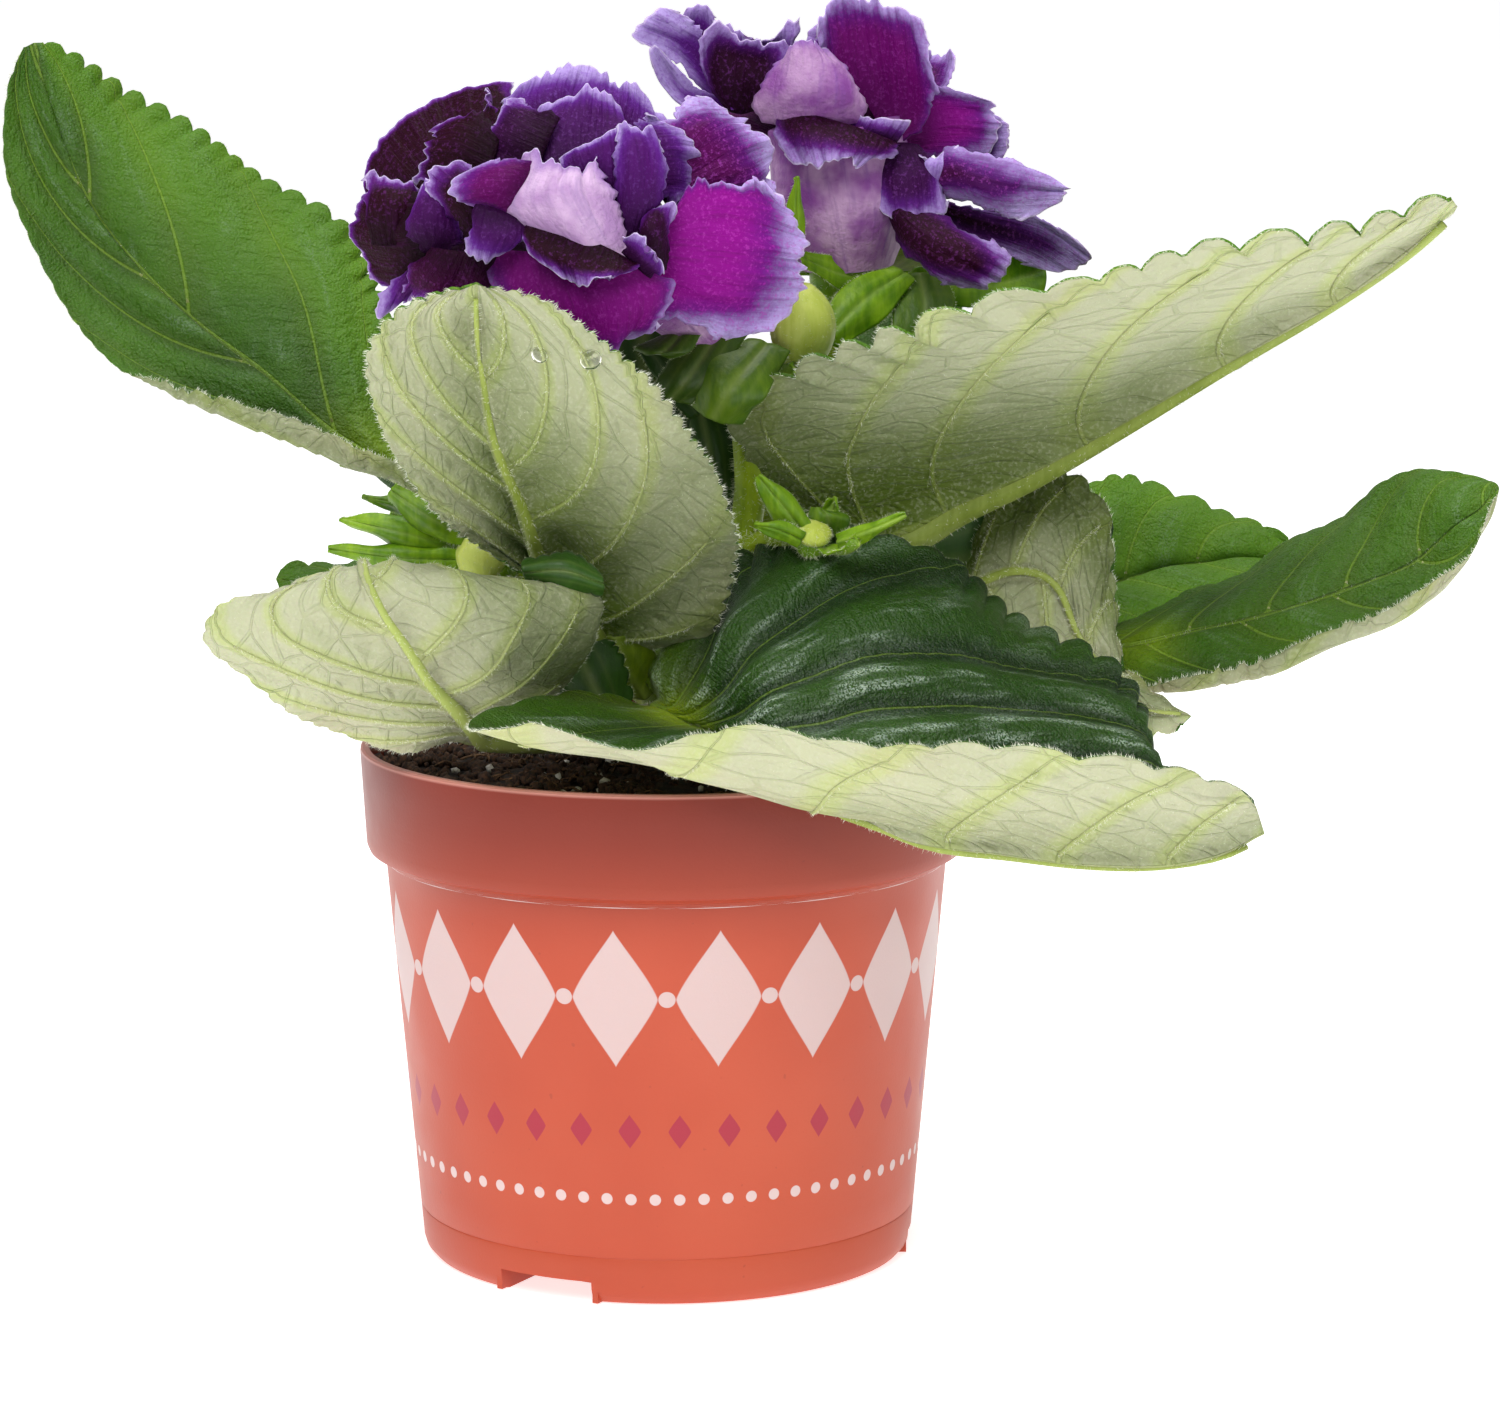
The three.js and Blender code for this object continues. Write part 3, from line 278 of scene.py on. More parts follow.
# The petals seen from the front. rows: from root to free edge, each three places across the petal as
# [pixel across the photograph, pixel down it, depth in mm], in the order that turns its upper side this way.
# red: its heart, from violet (0) over maroon (0.5) to magenta (1). band: how wide its light edge is.
# out: what is seen is its outer side. pale: how light the outer side is, from dark (0.1) over lilac (0.95)
# to nearly white (1.3). frill: how strongly its edges are ruffled. lean: how much narrower the light edge is
# on its first side.
NETS = {
    "bloom_front": [
        {"red": 0.02, "band": 0.6, "frill": 1.1, "rows": [
            [[520, 150, -26], [590, 140, -26], [665, 165, -26]],
            [[500, 125, -23], [592, 100, -22], [688, 160, -22]],
            [[505, 92, -19], [598, 71, -17], [684, 135, -18]]]},
        {"red": 0.2, "band": 0.35, "frill": 1.0, "rows": [
            [[530, 185, -36], [580, 185, -38], [635, 190, -36]],
            [[512, 150, -32], [578, 130, -32], [640, 150, -32]],
            [[525, 125, -29], [583, 90, -27], [632, 118, -28]]]},
        {"red": 0.15, "band": 0.45, "frill": 1.2, "rows": [
            [[625, 135, -36], [630, 170, -37], [640, 200, -36]],
            [[640, 122, -32], [665, 155, -33], [670, 200, -32]],
            [[660, 116, -30], [694, 158, -29], [686, 204, -29]]]},
        {"red": 0.1, "band": 0.15, "frill": 0.2, "rows": [
            [[582, 225, -41], [602, 225, -41], [620, 220, -41]],
            [[564, 176, -41], [597, 166, -42], [624, 172, -42]],
            [[560, 156, -39], [592, 141, -41], [626, 120, -40]]]},
        {"red": 0.1, "band": 0.3, "frill": 1.0, "rows": [
            [[620, 240, -44], [628, 243, -44], [636, 240, -44]],
            [[617, 195, -44], [638, 200, -46], [658, 204, -43]],
            [[614, 155, -43], [640, 155, -45], [665, 168, -42]],
            [[614, 130, -41], [634, 124, -42], [652, 137, -40]]]},
        {"red": 0.3, "band": 0.3, "frill": 1.2, "out": True, "pale": 1.14, "rows": [
            [[596, 268, -47], [615, 274, -48], [634, 268, -46]],
            [[538, 238, -46], [580, 237, -51], [624, 226, -46]],
            [[502, 212, -44], [555, 197, -51], [608, 190, -45]],
            [[522, 150, -42], [562, 166, -47], [598, 156, -43]]]},
        {"red": 0.5, "band": 0.2, "frill": 0.9, "rows": [
            [[632, 262, -49], [585, 238, -50], [531, 220, -47]],
            [[636, 268, -51], [575, 262, -53], [525, 238, -49]],
            [[622, 274, -52], [578, 281, -54], [533, 253, -50]]]},
        {"red": 0.85, "band": 0.7, "frill": 1.2, "rows": [
            [[652, 274, -46], [570, 256, -48], [490, 250, -42]],
            [[674, 286, -46], [592, 302, -50], [494, 285, -44]],
            [[660, 318, -44], [600, 334, -48], [520, 314, -43]],
            [[645, 328, -42], [600, 351, -45], [550, 332, -42]]]},
        {"red": 0.95, "band": 0.95, "frill": 1.4, "lean": 3.0, "rows": [
            [[668, 218, -38], [652, 250, -38], [648, 285, -38]],
            [[698, 183, -37], [690, 252, -39], [664, 314, -37]],
            [[742, 184, -33], [745, 258, -37], [708, 334, -34]],
            [[784, 208, -28], [806, 265, -30], [768, 338, -28]]]},
        {"red": 0.68, "band": 1.0, "frill": 1.2, "rows": [
            [[650, 165, -29], [658, 190, -29], [668, 208, -29]],
            [[658, 128, -27], [695, 165, -29], [720, 206, -27]],
            [[680, 106, -23], [730, 142, -25], [768, 209, -23]],
            [[704, 101, -19], [761, 134, -19], [774, 192, -20]]]},
        {"red": 0.4, "band": 0.2, "frill": 0.9, "rows": [
            [[638, 270, -46], [652, 272, -46], [666, 270, -45]],
            [[638, 232, -45], [655, 228, -47], [670, 235, -43]],
            [[643, 210, -42], [662, 201, -43], [677, 203, -41]]]},
        {"red": 0.3, "band": 0.2, "frill": 1.0, "rows": [
            [[622, 252, -49], [638, 268, -50], [650, 278, -49]],
            [[628, 234, -51], [650, 245, -53], [666, 270, -50]]]},
        {"red": 0.5, "band": 0.02, "frill": 0.35, "rows": [
            [[430, 250, -28], [470, 210, -30], [520, 170, -30]],
            [[390, 220, -22], [430, 160, -22], [506, 120, -22]],
            [[362, 196, -16], [402, 118, -14], [517, 77, -16]]]},
        {"red": 0.5, "band": 0.12, "frill": 1.2, "rows": [
            [[482, 205, -34], [492, 170, -34], [502, 130, -32]],
            [[442, 188, -30], [452, 152, -30], [468, 112, -28]],
            [[410, 184, -27], [423, 152, -27], [430, 128, -25]]]},
        {"red": 0.5, "band": 0.1, "frill": 1.0, "rows": [
            [[500, 175, -34], [512, 150, -33], [520, 125, -31]],
            [[465, 150, -27], [482, 128, -27], [500, 112, -27]],
            [[450, 128, -24], [478, 108, -23], [488, 86, -22]]]},
        {"red": 0.35, "band": 0.2, "frill": 1.1, "rows": [
            [[535, 180, -37], [545, 150, -36], [560, 118, -34]],
            [[498, 165, -33], [508, 135, -33], [535, 106, -31]],
            [[474, 158, -31], [488, 126, -31], [520, 99, -29]]]},
        {"red": 0.5, "band": 0.04, "frill": 0.9, "rows": [
            [[440, 272, -34], [425, 230, -37], [430, 192, -34]],
            [[402, 284, -31], [386, 235, -33], [400, 186, -31]],
            [[366, 280, -26], [356, 228, -25], [371, 178, -26]]]},
        {"red": 0.5, "band": 0.15, "frill": 1.1, "rows": [
            [[372, 245, -33], [395, 245, -34], [415, 240, -33]],
            [[364, 208, -32], [392, 205, -35], [424, 208, -32]],
            [[366, 176, -29], [394, 180, -31], [418, 182, -30]]]},
        {"red": 0.25, "band": 0.2, "frill": 1.1, "rows": [
            [[422, 252, -38], [438, 254, -38], [450, 252, -38]],
            [[408, 226, -37], [432, 220, -40], [462, 235, -37]],
            [[420, 190, -35], [435, 180, -37], [454, 198, -37]]]},
        {"red": 0.5, "band": 0.2, "frill": 1.0, "rows": [
            [[470, 242, -41], [480, 225, -42], [488, 205, -41]],
            [[450, 214, -40], [463, 195, -43], [480, 178, -41]],
            [[432, 194, -38], [435, 170, -39], [468, 158, -39]]]},
        {"red": 0.7, "band": 0.25, "frill": 1.0, "rows": [
            [[530, 222, -45], [537, 192, -45], [552, 165, -44]],
            [[498, 212, -45], [502, 184, -48], [518, 160, -45]],
            [[468, 208, -43], [457, 190, -44], [476, 164, -43]]]},
        {"red": 0.2, "band": 0.25, "frill": 0.9, "rows": [
            [[525, 225, -47], [500, 210, -47], [476, 204, -46]],
            [[526, 238, -48], [495, 236, -50], [468, 228, -47]],
            [[510, 254, -48], [488, 259, -49], [464, 252, -47]]]},
        {"red": 0.6, "band": 0.2, "frill": 1.1, "rows": [
            [[500, 258, -43], [465, 252, -44], [432, 248, -40]],
            [[492, 285, -42], [450, 282, -42], [410, 270, -38]],
            [[470, 294, -40], [430, 300, -39], [394, 294, -35]]]},
        {"red": 0.2, "band": 0.3, "frill": 1.1, "rows": [
            [[458, 266, -38], [440, 262, -39], [425, 258, -38]],
            [[432, 290, -36], [412, 286, -37], [393, 280, -35]],
            [[408, 304, -33], [392, 310, -33], [380, 313, -32]]]},
    ],
    "bloom_back": [
        {"red": 0.75, "band": 0.5, "frill": 1.1, "rows": [
            [[845, 135, 10], [868, 140, 12], [892, 150, 10]],
            [[828, 95, 7], [880, 95, 12], [928, 118, 8]],
            [[815, 55, 5], [872, 45, 9], [934, 75, 5]],
            [[808, 20, 3], [866, -3, 5], [922, 18, 3]]]},
        {"red": 0.3, "band": 0.3, "frill": 1.0, "out": True, "pale": 0.7, "rows": [
            [[762, 122, 2], [810, 126, 0], [862, 122, 2]],
            [[754, 104, 1], [812, 92, -3], [867, 104, 1]],
            [[766, 72, 2], [814, 64, -1], [853, 78, 2]],
            [[782, 50, 4], [808, 44, 2], [835, 54, 4]]]},
        {"red": 0.42, "band": 0.35, "frill": 0.9, "rows": [
            [[728, 110, 4], [740, 114, 6], [757, 110, 5]],
            [[706, 82, 1], [738, 84, 5], [768, 88, 4]],
            [[700, 50, 0], [742, 55, 5], [785, 62, 3]],
            [[714, 17, 1], [750, 38, 2], [790, 40, 3]]]},
        {"red": 0.2, "band": 0.5, "frill": 1.0, "rows": [
            [[735, 75, 9], [757, 78, 9], [780, 72, 9]],
            [[714, 40, 7], [755, 48, 9], [797, 45, 8]],
            [[716, 16, 6], [757, 36, 8], [797, 18, 7]]]},
        {"red": 0.1, "band": 1.0, "frill": 0.9, "rows": [
            [[724, 106, 9], [732, 97, 9], [744, 88, 9]],
            [[690, 76, 7], [700, 58, 8], [712, 40, 8]],
            [[664, 53, 6], [676, 38, 7], [693, 24, 7]],
            [[639, 44, 5], [638, 22, 5], [670, 1, 6]]]},
        {"red": 0.1, "band": 0.6, "frill": 0.8, "rows": [
            [[692, 50, 11], [703, 52, 11], [716, 50, 11]],
            [[682, 28, 10], [700, 26, 11], [715, 24, 10]],
            [[690, 8, 9], [701, 2, 9], [712, 9, 9]]]},
        {"red": 0.1, "band": 1.0, "frill": 0.3, "rows": [
            [[734, 110, 5], [727, 103, 5], [724, 98, 5]],
            [[690, 108, 3], [690, 97, 4], [695, 86, 4]],
            [[662, 85, 2], [668, 75, 3], [676, 66, 3]],
            [[648, 58, 1], [651, 46, 1], [658, 45, 1]]]},
        {"red": 0.55, "band": 0.4, "frill": 1.2, "rows": [
            [[900, 145, 2], [845, 124, -2], [776, 108, 2]],
            [[896, 150, 0], [840, 143, -6], [774, 128, 0]],
            [[882, 160, -2], [838, 163, -8], [790, 160, -3]]]},
        {"red": 0.35, "band": 0.2, "frill": 0.4, "rows": [
            [[835, 124, 3], [862, 136, 2], [893, 148, 3]],
            [[836, 110, 2], [872, 117, 1], [911, 120, 2]]]},
        {"red": 0.9, "band": 0.5, "frill": 1.0, "rows": [
            [[915, 112, 12], [900, 135, 12], [905, 154, 12]],
            [[935, 90, 14], [945, 122, 16], [940, 158, 14]],
            [[986, 98, 16], [1000, 125, 17], [980, 160, 16]]]},
        {"red": 0.3, "band": 0.6, "frill": 0.4, "rows": [
            [[980, 120, 18], [975, 140, 18], [985, 160, 18]],
            [[994, 112, 18], [1009, 135, 18], [1003, 162, 18]]]},
        {"red": 0.6, "band": 0.9, "frill": 1.0, "rows": [
            [[925, 170, 6], [912, 186, 5], [915, 200, 5]],
            [[950, 150, 4], [955, 174, 0], [950, 196, 3]],
            [[1000, 156, 2], [1003, 186, -3], [996, 214, 0]],
            [[1040, 184, 0], [1066, 190, -2], [1046, 216, -1]]]},
        {"red": 0.45, "band": 0.85, "frill": 1.0, "rows": [
            [[930, 198, 12], [930, 205, 12], [935, 215, 12]],
            [[985, 208, 13], [975, 222, 13], [965, 237, 13]],
            [[1038, 216, 14], [1035, 240, 14], [1010, 258, 13]],
            [[1090, 249, 15], [1078, 266, 15], [1038, 271, 14]]]},
        {"red": 0.55, "band": 0.35, "frill": 1.0, "rows": [
            [[880, 186, 4], [880, 190, 4], [882, 196, 5]],
            [[930, 212, 0], [912, 228, -3], [900, 240, 0]],
            [[978, 234, -3], [955, 254, -7], [932, 276, -3]],
            [[1022, 256, -5], [1000, 278, -7], [972, 290, -5]]]},
        {"red": 0.3, "band": 0.4, "frill": 1.0, "rows": [
            [[918, 145, 5], [899, 143, 5], [880, 146, 5]],
            [[938, 172, 3], [908, 176, 0], [872, 176, 3]],
            [[950, 204, 1], [912, 222, -1], [880, 206, 2]]]},
        {"red": 0.1, "band": 1.0, "frill": 1.2, "rows": [
            [[925, 188, 3], [935, 188, 2], [952, 184, 3]],
            [[920, 165, 3], [936, 168, 1], [952, 172, 3]],
            [[925, 152, 4], [940, 157, 3], [962, 148, 4]]]},
    ],
}
# The petals behind them: [root in the throat, middle of the free edge, half the width, bow, cup, the way
# it looks, red, band], in mm. bow: how far its middle stands off the straight line. cup: how far its sides
# turn.
REAR_PETALS = {
    "bloom_front": [
        [[-12, -22, 208], [-20, -2, 224], 16, 3, -3, [-0.5, -0.65, 0.55], 0.5, 0.4],
        [[-6, -24, 202], [6, -4, 196], 14, 3, -2, [-0.5, -0.65, 0.55], 0.6, 0.6],
        [[-14, -24, 210], [-2, -8, 222], 14, 3, -3, [-0.3, -0.5, 0.8], 0.4, 0.4],
        [[-20, -24, 204], [-38, -4, 212], 15, 3, -3, [-0.5, -0.65, 0.55], 0.5, 0.3],
        [[-22, -26, 200], [-46, -12, 198], 13, 3, -3, [-0.6, -0.6, 0.5], 0.4, 0.3],
        [[-10, -30, 200], [-1, -22, 190.5], 10, 3, -3, [0.2, -0.8, 0.5], 0.7, 0.5],
    ],
    "bloom_back": [
        [[28, 18, 218], [9, 44, 222], 16, 4, -2, [0.1, -0.5, 0.85], 0.7, 0.6],
        [[34, 20, 218], [38, 52, 230], 18, 4, -2, [0.1, -0.5, 0.85], 0.8, 0.6],
        [[40, 18, 218], [62, 46, 222], 16, 4, -2, [0.1, -0.5, 0.85], 0.7, 0.6],
        [[33, 18, 220], [24, 34, 236], 14, 3, 3, [0.1, -0.8, 0.6], 0.5, 0.5],
        [[36, 18, 220], [50, 32, 236], 13, 3, 3, [0, -0.8, 0.6], 0.6, 0.5],
    ],
}
# The bells: the points of their middle lines, the radius at each, and the middle and radius of the knot in
# the throat.
BELLS = {
    "bloom_front": {
        "points": [[13, -6, 175], [4, -17, 187], [-12, -30, 204]],
        "radii": [4.5, 6.5, 12],
        "heart": [[-13, -33, 203], 10],
    },
    "bloom_back": {
        "points": [[36, 15, 193], [35, 14, 206], [33, 13, 221]],
        "radii": [9, 14, 13],
        "heart": [[33, 12, 220], 8],
    },
}

# The flower stalks: points, and the radius at the root and at the far end.
STALKS = [
    [[[1, 0, 116], [11, 1, 130], [16, 0, 146], [16, -3, 160], [14, -5, 173.5]], [3.4, 2.9]],
    [[[1, 2, 118], [16, 9, 137], [27, 13, 155], [33, 15, 172], [36, 15, 191.5]], [3, 2.6]],
    [[[15, 0, 139], [19, -4, 141.5], [24, -9, 142.5], [28, -13.5, 143.4]], [1.8, 1.8]],
    [[[-1, 0, 116], [-12, -2, 128], [-24, -3, 134], [-33.5, -5.4, 137.5]], [2.4, 1.8]],
    [[[16, -3, 160], [22, -5, 166], [26, -5, 173.5]], [1.8, 1.8]],
]
# The drops under a leaf: the leaf, the place along and across it, and the radius.
DROPS = [["leaf_front_left_high", 0.825, -0.5, 1.7], ["leaf_front_left_high", 0.79, -0.822, 2.1]]
STEM = {"foot": 78, "top": 126, "foot_radius": 5.2, "top_radius": 4.6}
# The buds: the points of their middle lines and their widest radius.
BUDS = {
    "bud_right": {"points": [[26, -5, 174.5], [26.5, -7, 183], [26, -9, 191]], "radius": 6.4},
    "bud_star": {"points": [[28, -13, 142.2], [28.3, -14, 143.9], [28.5, -15, 145.6]], "radius": 3.7},
    "bud_left": {"points": [[-33, -7.6, 136.5], [-35.5, -9.5, 138.5], [-39.5, -11, 141]], "radius": 5.2},
}
# The calyxes: the middle of the ball that carries the sepals, the way it opens, its radius (core), and of
# the sepals that the photograph hides half the width and the tips.
CALYXES = {
    "calyx_front": {
        "middle": [14, -5, 173], "axis": [-0.45, -0.6, 0.65], "core": 6, "half": 6,
        "tips": [[25, -14, 175], [25, 5, 178], [7, 9, 177]],
    },
    "calyx_back": {
        "middle": [36, 15, 191], "axis": [0, 0, 1], "core": 8, "half": 8,
        "tips": [[52, 34, 197], [22, 34, 196]],
    },
    "calyx_star": {
        "middle": [28, -13, 142], "axis": [0.05, -0.2, 1], "core": 3.2, "half": 3,
        "tips": [[37, -22, 143], [33, -6, 150]],
    },
    "calyx_left": {
        "middle": [-33, -5.3, 137.3], "axis": [-0.93, -0.15, 0.33], "core": 4.6, "half": 5,
        "tips": [[-54, 3, 146], [-46, -1, 150]],
    },
}

# The sepals and young leaves that the photograph shows. rows: from root to tip, as in NETS. deep:
# how much painted shade darkens them. kind: 0 for green, 1 for olive, 2 for dark leaf green. teeth: how many
# scallops a margin has.
SEPALS = {
    "calyx_front": [
        {"deep": 0.6, "rows": [
            [[790, 352, -14], [768, 342, -14], [748, 338, -14]],
            [[765, 396, -20], [732, 386, -23], [702, 362, -20]],
            [[742, 424, -19], [712, 420, -21], [690, 404, -19]]]},
        {"deep": 0.85, "rows": [
            [[748, 334, -16], [722, 328, -17], [694, 330, -16]],
            [[715, 382, -20], [690, 376, -22], [666, 364, -20]],
            [[690, 404, -20], [670, 400, -21], [655, 388, -20]]]},
        {"deep": 0.8, "rows": [
            [[700, 335, -22], [680, 335, -23], [660, 335, -22]],
            [[690, 352, -24], [664, 352, -26], [640, 346, -24]],
            [[668, 356, -24], [650, 354, -25], [634, 350, -24]]]},
    ],
    "calyx_back": [
        {"deep": 0.1, "rows": [
            [[885, 285, 12], [885, 272, 12], [880, 262, 12]],
            [[850, 292, 6], [845, 275, 6], [845, 258, 7]],
            [[806, 268, 2], [800, 257, 2], [808, 252, 3]]]},
        {"deep": 0.0, "rows": [
            [[915, 280, 8], [905, 272, 8], [893, 266, 8]],
            [[880, 322, 3], [862, 302, 2], [845, 285, 3]],
            [[838, 347, 0], [825, 340, -1], [820, 325, 0]]]},
        {"deep": 0.05, "rows": [
            [[915, 268, 12], [905, 280, 12], [905, 295, 12]],
            [[980, 262, 16], [985, 285, 16], [975, 308, 15]],
            [[1030, 244, 18], [1046, 268, 18], [1040, 300, 17]]]},
        {"deep": 0.6, "rows": [
            [[945, 278, 10], [920, 272, 10], [900, 280, 10]],
            [[955, 305, 7], [925, 310, 6], [893, 305, 7]],
            [[935, 332, 4], [912, 338, 4], [893, 330, 4]]]},
        {"deep": 0.05, "rows": [
            [[789, 236, -2], [796, 237, -3], [803, 235, -2]],
            [[789, 205, -3], [796, 203, -4], [803, 205, -3]],
            [[795, 179, -4], [797, 176, -4], [799, 178, -4]]]},
    ],
    "calyx_star": [
        {"deep": 0.1, "rows": [
            [[797, 543, -14], [806, 536, -14], [815, 532, -14]],
            [[771, 517, -15], [784, 507, -17], [798, 502, -15]],
            [[756, 478, -15], [758, 475, -15], [762, 475, -15]]]},
        {"deep": 0.0, "rows": [
            [[798, 548, -17], [802, 540, -17], [806, 532, -17]],
            [[776, 538, -19], [777, 529, -20], [781, 521, -19]],
            [[754, 528, -19], [754, 525, -19], [756, 522, -19]]]},
        {"deep": 0.0, "rows": [
            [[838, 551, -17], [838, 542, -17], [836, 534, -17]],
            [[868, 540, -20], [871, 531, -21], [871, 522, -20]],
            [[905, 518, -21], [906, 515, -21], [905, 512, -21]]]},
        {"deep": 0.45, "rows": [
            [[815, 536, -11], [828, 533, -11], [842, 536, -11]],
            [[808, 520, -12], [828, 517, -14], [848, 520, -12]],
            [[812, 507, -12], [822, 509, -13], [838, 512, -12]]]},
    ],
    "calyx_left": [
        {"deep": 0.35, "rows": [
            [[462, 545, -3], [470, 540, -3], [478, 538, -3]],
            [[418, 524, -4], [424, 510, -6], [430, 500, -4]],
            [[362, 498, -5], [362, 496, -5], [364, 495, -5]]]},
        {"deep": 0.05, "rows": [
            [[456, 562, -7], [462, 550, -7], [466, 540, -7]],
            [[400, 548, -9], [402, 533, -12], [406, 516, -9]],
            [[340, 521, -8], [340, 519, -8], [342, 517, -8]]]},
        {"deep": 0.0, "rows": [
            [[462, 572, -9], [463, 560, -9], [464, 550, -9]],
            [[400, 574, -10], [398, 558, -12], [398, 545, -10]],
            [[329, 550, -8], [328, 548, -8], [330, 546, -8]]]},
        {"deep": 0.2, "rows": [
            [[462, 545, -10], [466, 535, -10], [470, 526, -10]],
            [[425, 534, -11], [430, 518, -13], [440, 505, -11]],
            [[388, 500, -10], [390, 490, -10], [396, 484, -10]]]},
        {"deep": 0.1, "rows": [
            [[468, 580, -9], [465, 568, -9], [463, 556, -9]],
            [[430, 590, -9], [424, 578, -11], [420, 566, -9]],
            [[387, 580, -8], [385, 577, -8], [384, 573, -8]]]},
    ],
}
YOUNG_LEAVES = [
    {"deep": 0.9, "kind": 2, "rows": [
        [[596, 306, 4], [645, 316, 4], [700, 322, 4]],
        [[604, 352, 4], [645, 366, 2], [700, 366, 4]],
        [[640, 400, 4], [672, 430, 3], [704, 420, 4]]]},
    {"deep": 0.5, "kind": 2, "rows": [
        [[740, 585, 2], [760, 574, 2], [778, 560, 2]],
        [[770, 588, 2], [788, 570, 0], [798, 550, 2]],
        [[810, 586, 2], [822, 574, 2], [834, 560, 2]]]},
    {"deep": 0.55, "kind": 2, "rows": [
        [[700, 525, 5], [718, 530, 5], [735, 525, 5]],
        [[686, 462, 4], [710, 457, 2], [736, 450, 4]],
        [[668, 398, 5], [695, 388, 4], [718, 396, 5]]]},
    {"deep": 0.75, "kind": 2, "rows": [
        [[735, 480, 7], [745, 470, 7], [755, 465, 7]],
        [[715, 430, 7], [735, 420, 6], [760, 415, 7]],
        [[705, 385, 7], [730, 372, 7], [765, 372, 7]]]},
    {"deep": 0.85, "kind": 2, "rows": [
        [[705, 560, 8], [720, 550, 8], [740, 545, 8]],
        [[690, 500, 8], [712, 490, 8], [742, 480, 8]],
        [[672, 440, 8], [700, 430, 8], [745, 425, 8]]]},
    {"deep": 0.8, "kind": 2, "rows": [
        [[690, 420, -4], [705, 410, -4], [720, 400, -4]],
        [[660, 385, -6], [680, 368, -8], [705, 355, -6]],
        [[638, 350, -8], [655, 338, -8], [680, 330, -8]]]},
    {"deep": 0.3, "kind": 1, "rows": [
        [[590, 628, -16], [614, 636, -18], [645, 630, -16]],
        [[598, 662, -13], [625, 668, -16], [655, 655, -13]],
        [[622, 694, -8], [645, 696, -10], [672, 682, -8]]]},
    {"deep": 0.5, "kind": 2, "teeth": 5, "rows": [
        [[590, 722, -20], [610, 716, -20], [630, 704, -20]],
        [[552, 698, -20], [590, 680, -22], [618, 660, -20]],
        [[542, 655, -20], [575, 645, -21], [606, 640, -20]]]},
    {"deep": 0.35, "kind": 2, "teeth": 6, "rows": [
        [[603, 594, -42.5], [604, 584, -44], [600, 572, -42.5]],
        [[566, 590, -43], [564, 571, -46], [562, 554, -43]],
        [[526, 582, -42.5], [523, 573, -44], [522, 564, -42.5]]]},
    {"deep": 0.5, "kind": 2, "rows": [
        [[480, 545, 10], [492, 530, 10], [504, 515, 10]],
        [[420, 512, 12], [430, 478, 10], [450, 445, 12]],
        [[372, 470, 14], [382, 438, 13], [405, 405, 14]]]},
    {"deep": 0.3, "kind": 2, "rows": [
        [[870, 578, 12], [885, 560, 12], [905, 540, 12]],
        [[960, 612, 12], [960, 560, 13], [965, 505, 12]],
        [[1040, 600, 13], [1035, 540, 14], [1050, 480, 13]],
        [[1085, 560, 14], [1080, 520, 14], [1080, 488, 14]]]},
    {"deep": 0.45, "kind": 2, "teeth": 7, "rows": [
        [[600, 722, -24], [590, 735, -24], [585, 745, -24]],
        [[545, 700, -27], [548, 718, -30], [552, 735, -27]],
        [[488, 722, -26], [500, 730, -27], [512, 738, -26]]]},
]

# The pot: its outer radii from the rim down, and the thickness of its wall.
POT = {
    "height": 101, "top_radius": 60, "collar_height": 20, "collar_foot_radius": 58.9,
    "body_top_radius": 55.1, "body_foot_radius": 48.5, "base_radius": 46.6, "wall": 1.2,
}
# The drain channels under it, each with a hole through its roof.
CHANNEL = {"count": 3, "first_angle": -119.4, "width": 20, "inner": 33, "height": 4.5, "hole_radius": 4}
# The marks printed round it: the height of their middles, their pitch, half a lozenge's width and height,
# and a dot's radius. The pitches are those of a ring with 17 large lozenges, and shift is a share of one.
# Only the wall between the two limits is printed.
PRINT = {
    "round": 17 * 19.0,
    "limits": [6, 79],
    "large": {"middle": 61.0, "pitch": 19.0, "wide": 8.0, "tall": 13.5},
    "beads": {"middle": 61.0, "pitch": 19.0, "radius": 1.6, "shift": 0.5},
    "small": {"middle": 35.0, "pitch": 9.5, "wide": 2.2, "tall": 3.4, "shift": 0.25},
    "dots": {"middle": 21.5, "pitch": 4.75, "radius": 1.15},
}
# The bed of soil, and the loose pieces on it: how many, and their smallest and largest radius.
SOIL = {"rim_level": 96, "middle_level": 98.5, "rim": 56.9}
CRUMBS = {"soil_crumbs": [2500, 0.5, 1.9], "soil_grit": [170, 0.5, 1.5]}
FIBRES = {"count": 420, "length": [2, 7], "radius": [0.1, 0.28]}
# The hairs: how many, and how long in mm. On a rib, a margin and under a blade they are counted for each
# millimetre of the leaf's length, and elsewhere in all.
HAIRS = {
    "rib": [16, 0.9], "margin": [7, 0.95], "young_margin": [7, 0.7], "under": [9, 0.5], "vein": [260, 0.8],
    "stalk": [1400, 1.3], "thin_stalk": [500, 1.3], "sepal_margin": [60, 0.8], "sepal_back": [90, 0.7],
    "calyx": [700, 1.0], "bud": [500, 0.6],
}
# What the random numbers of each group start from.
SEEDS = {
    "leaf_hairs": 3, "stem_hairs": 5, "soil": 11, "bloom_front": 21, "bloom_back": 22, "young": 31,
    "calyx": 40,
}
# The studio: how brightly its floor and its sky shine, and its lamps' places, widths and powers.
FLOOR_GLOW = 0.72
SKY_GLOW = 0.32
LAMPS = {"key": [(-0.3, -1.1, 1.3), 1.0, 18], "top": [(0.15, 0.15, 1.6), 0.9, 15]}

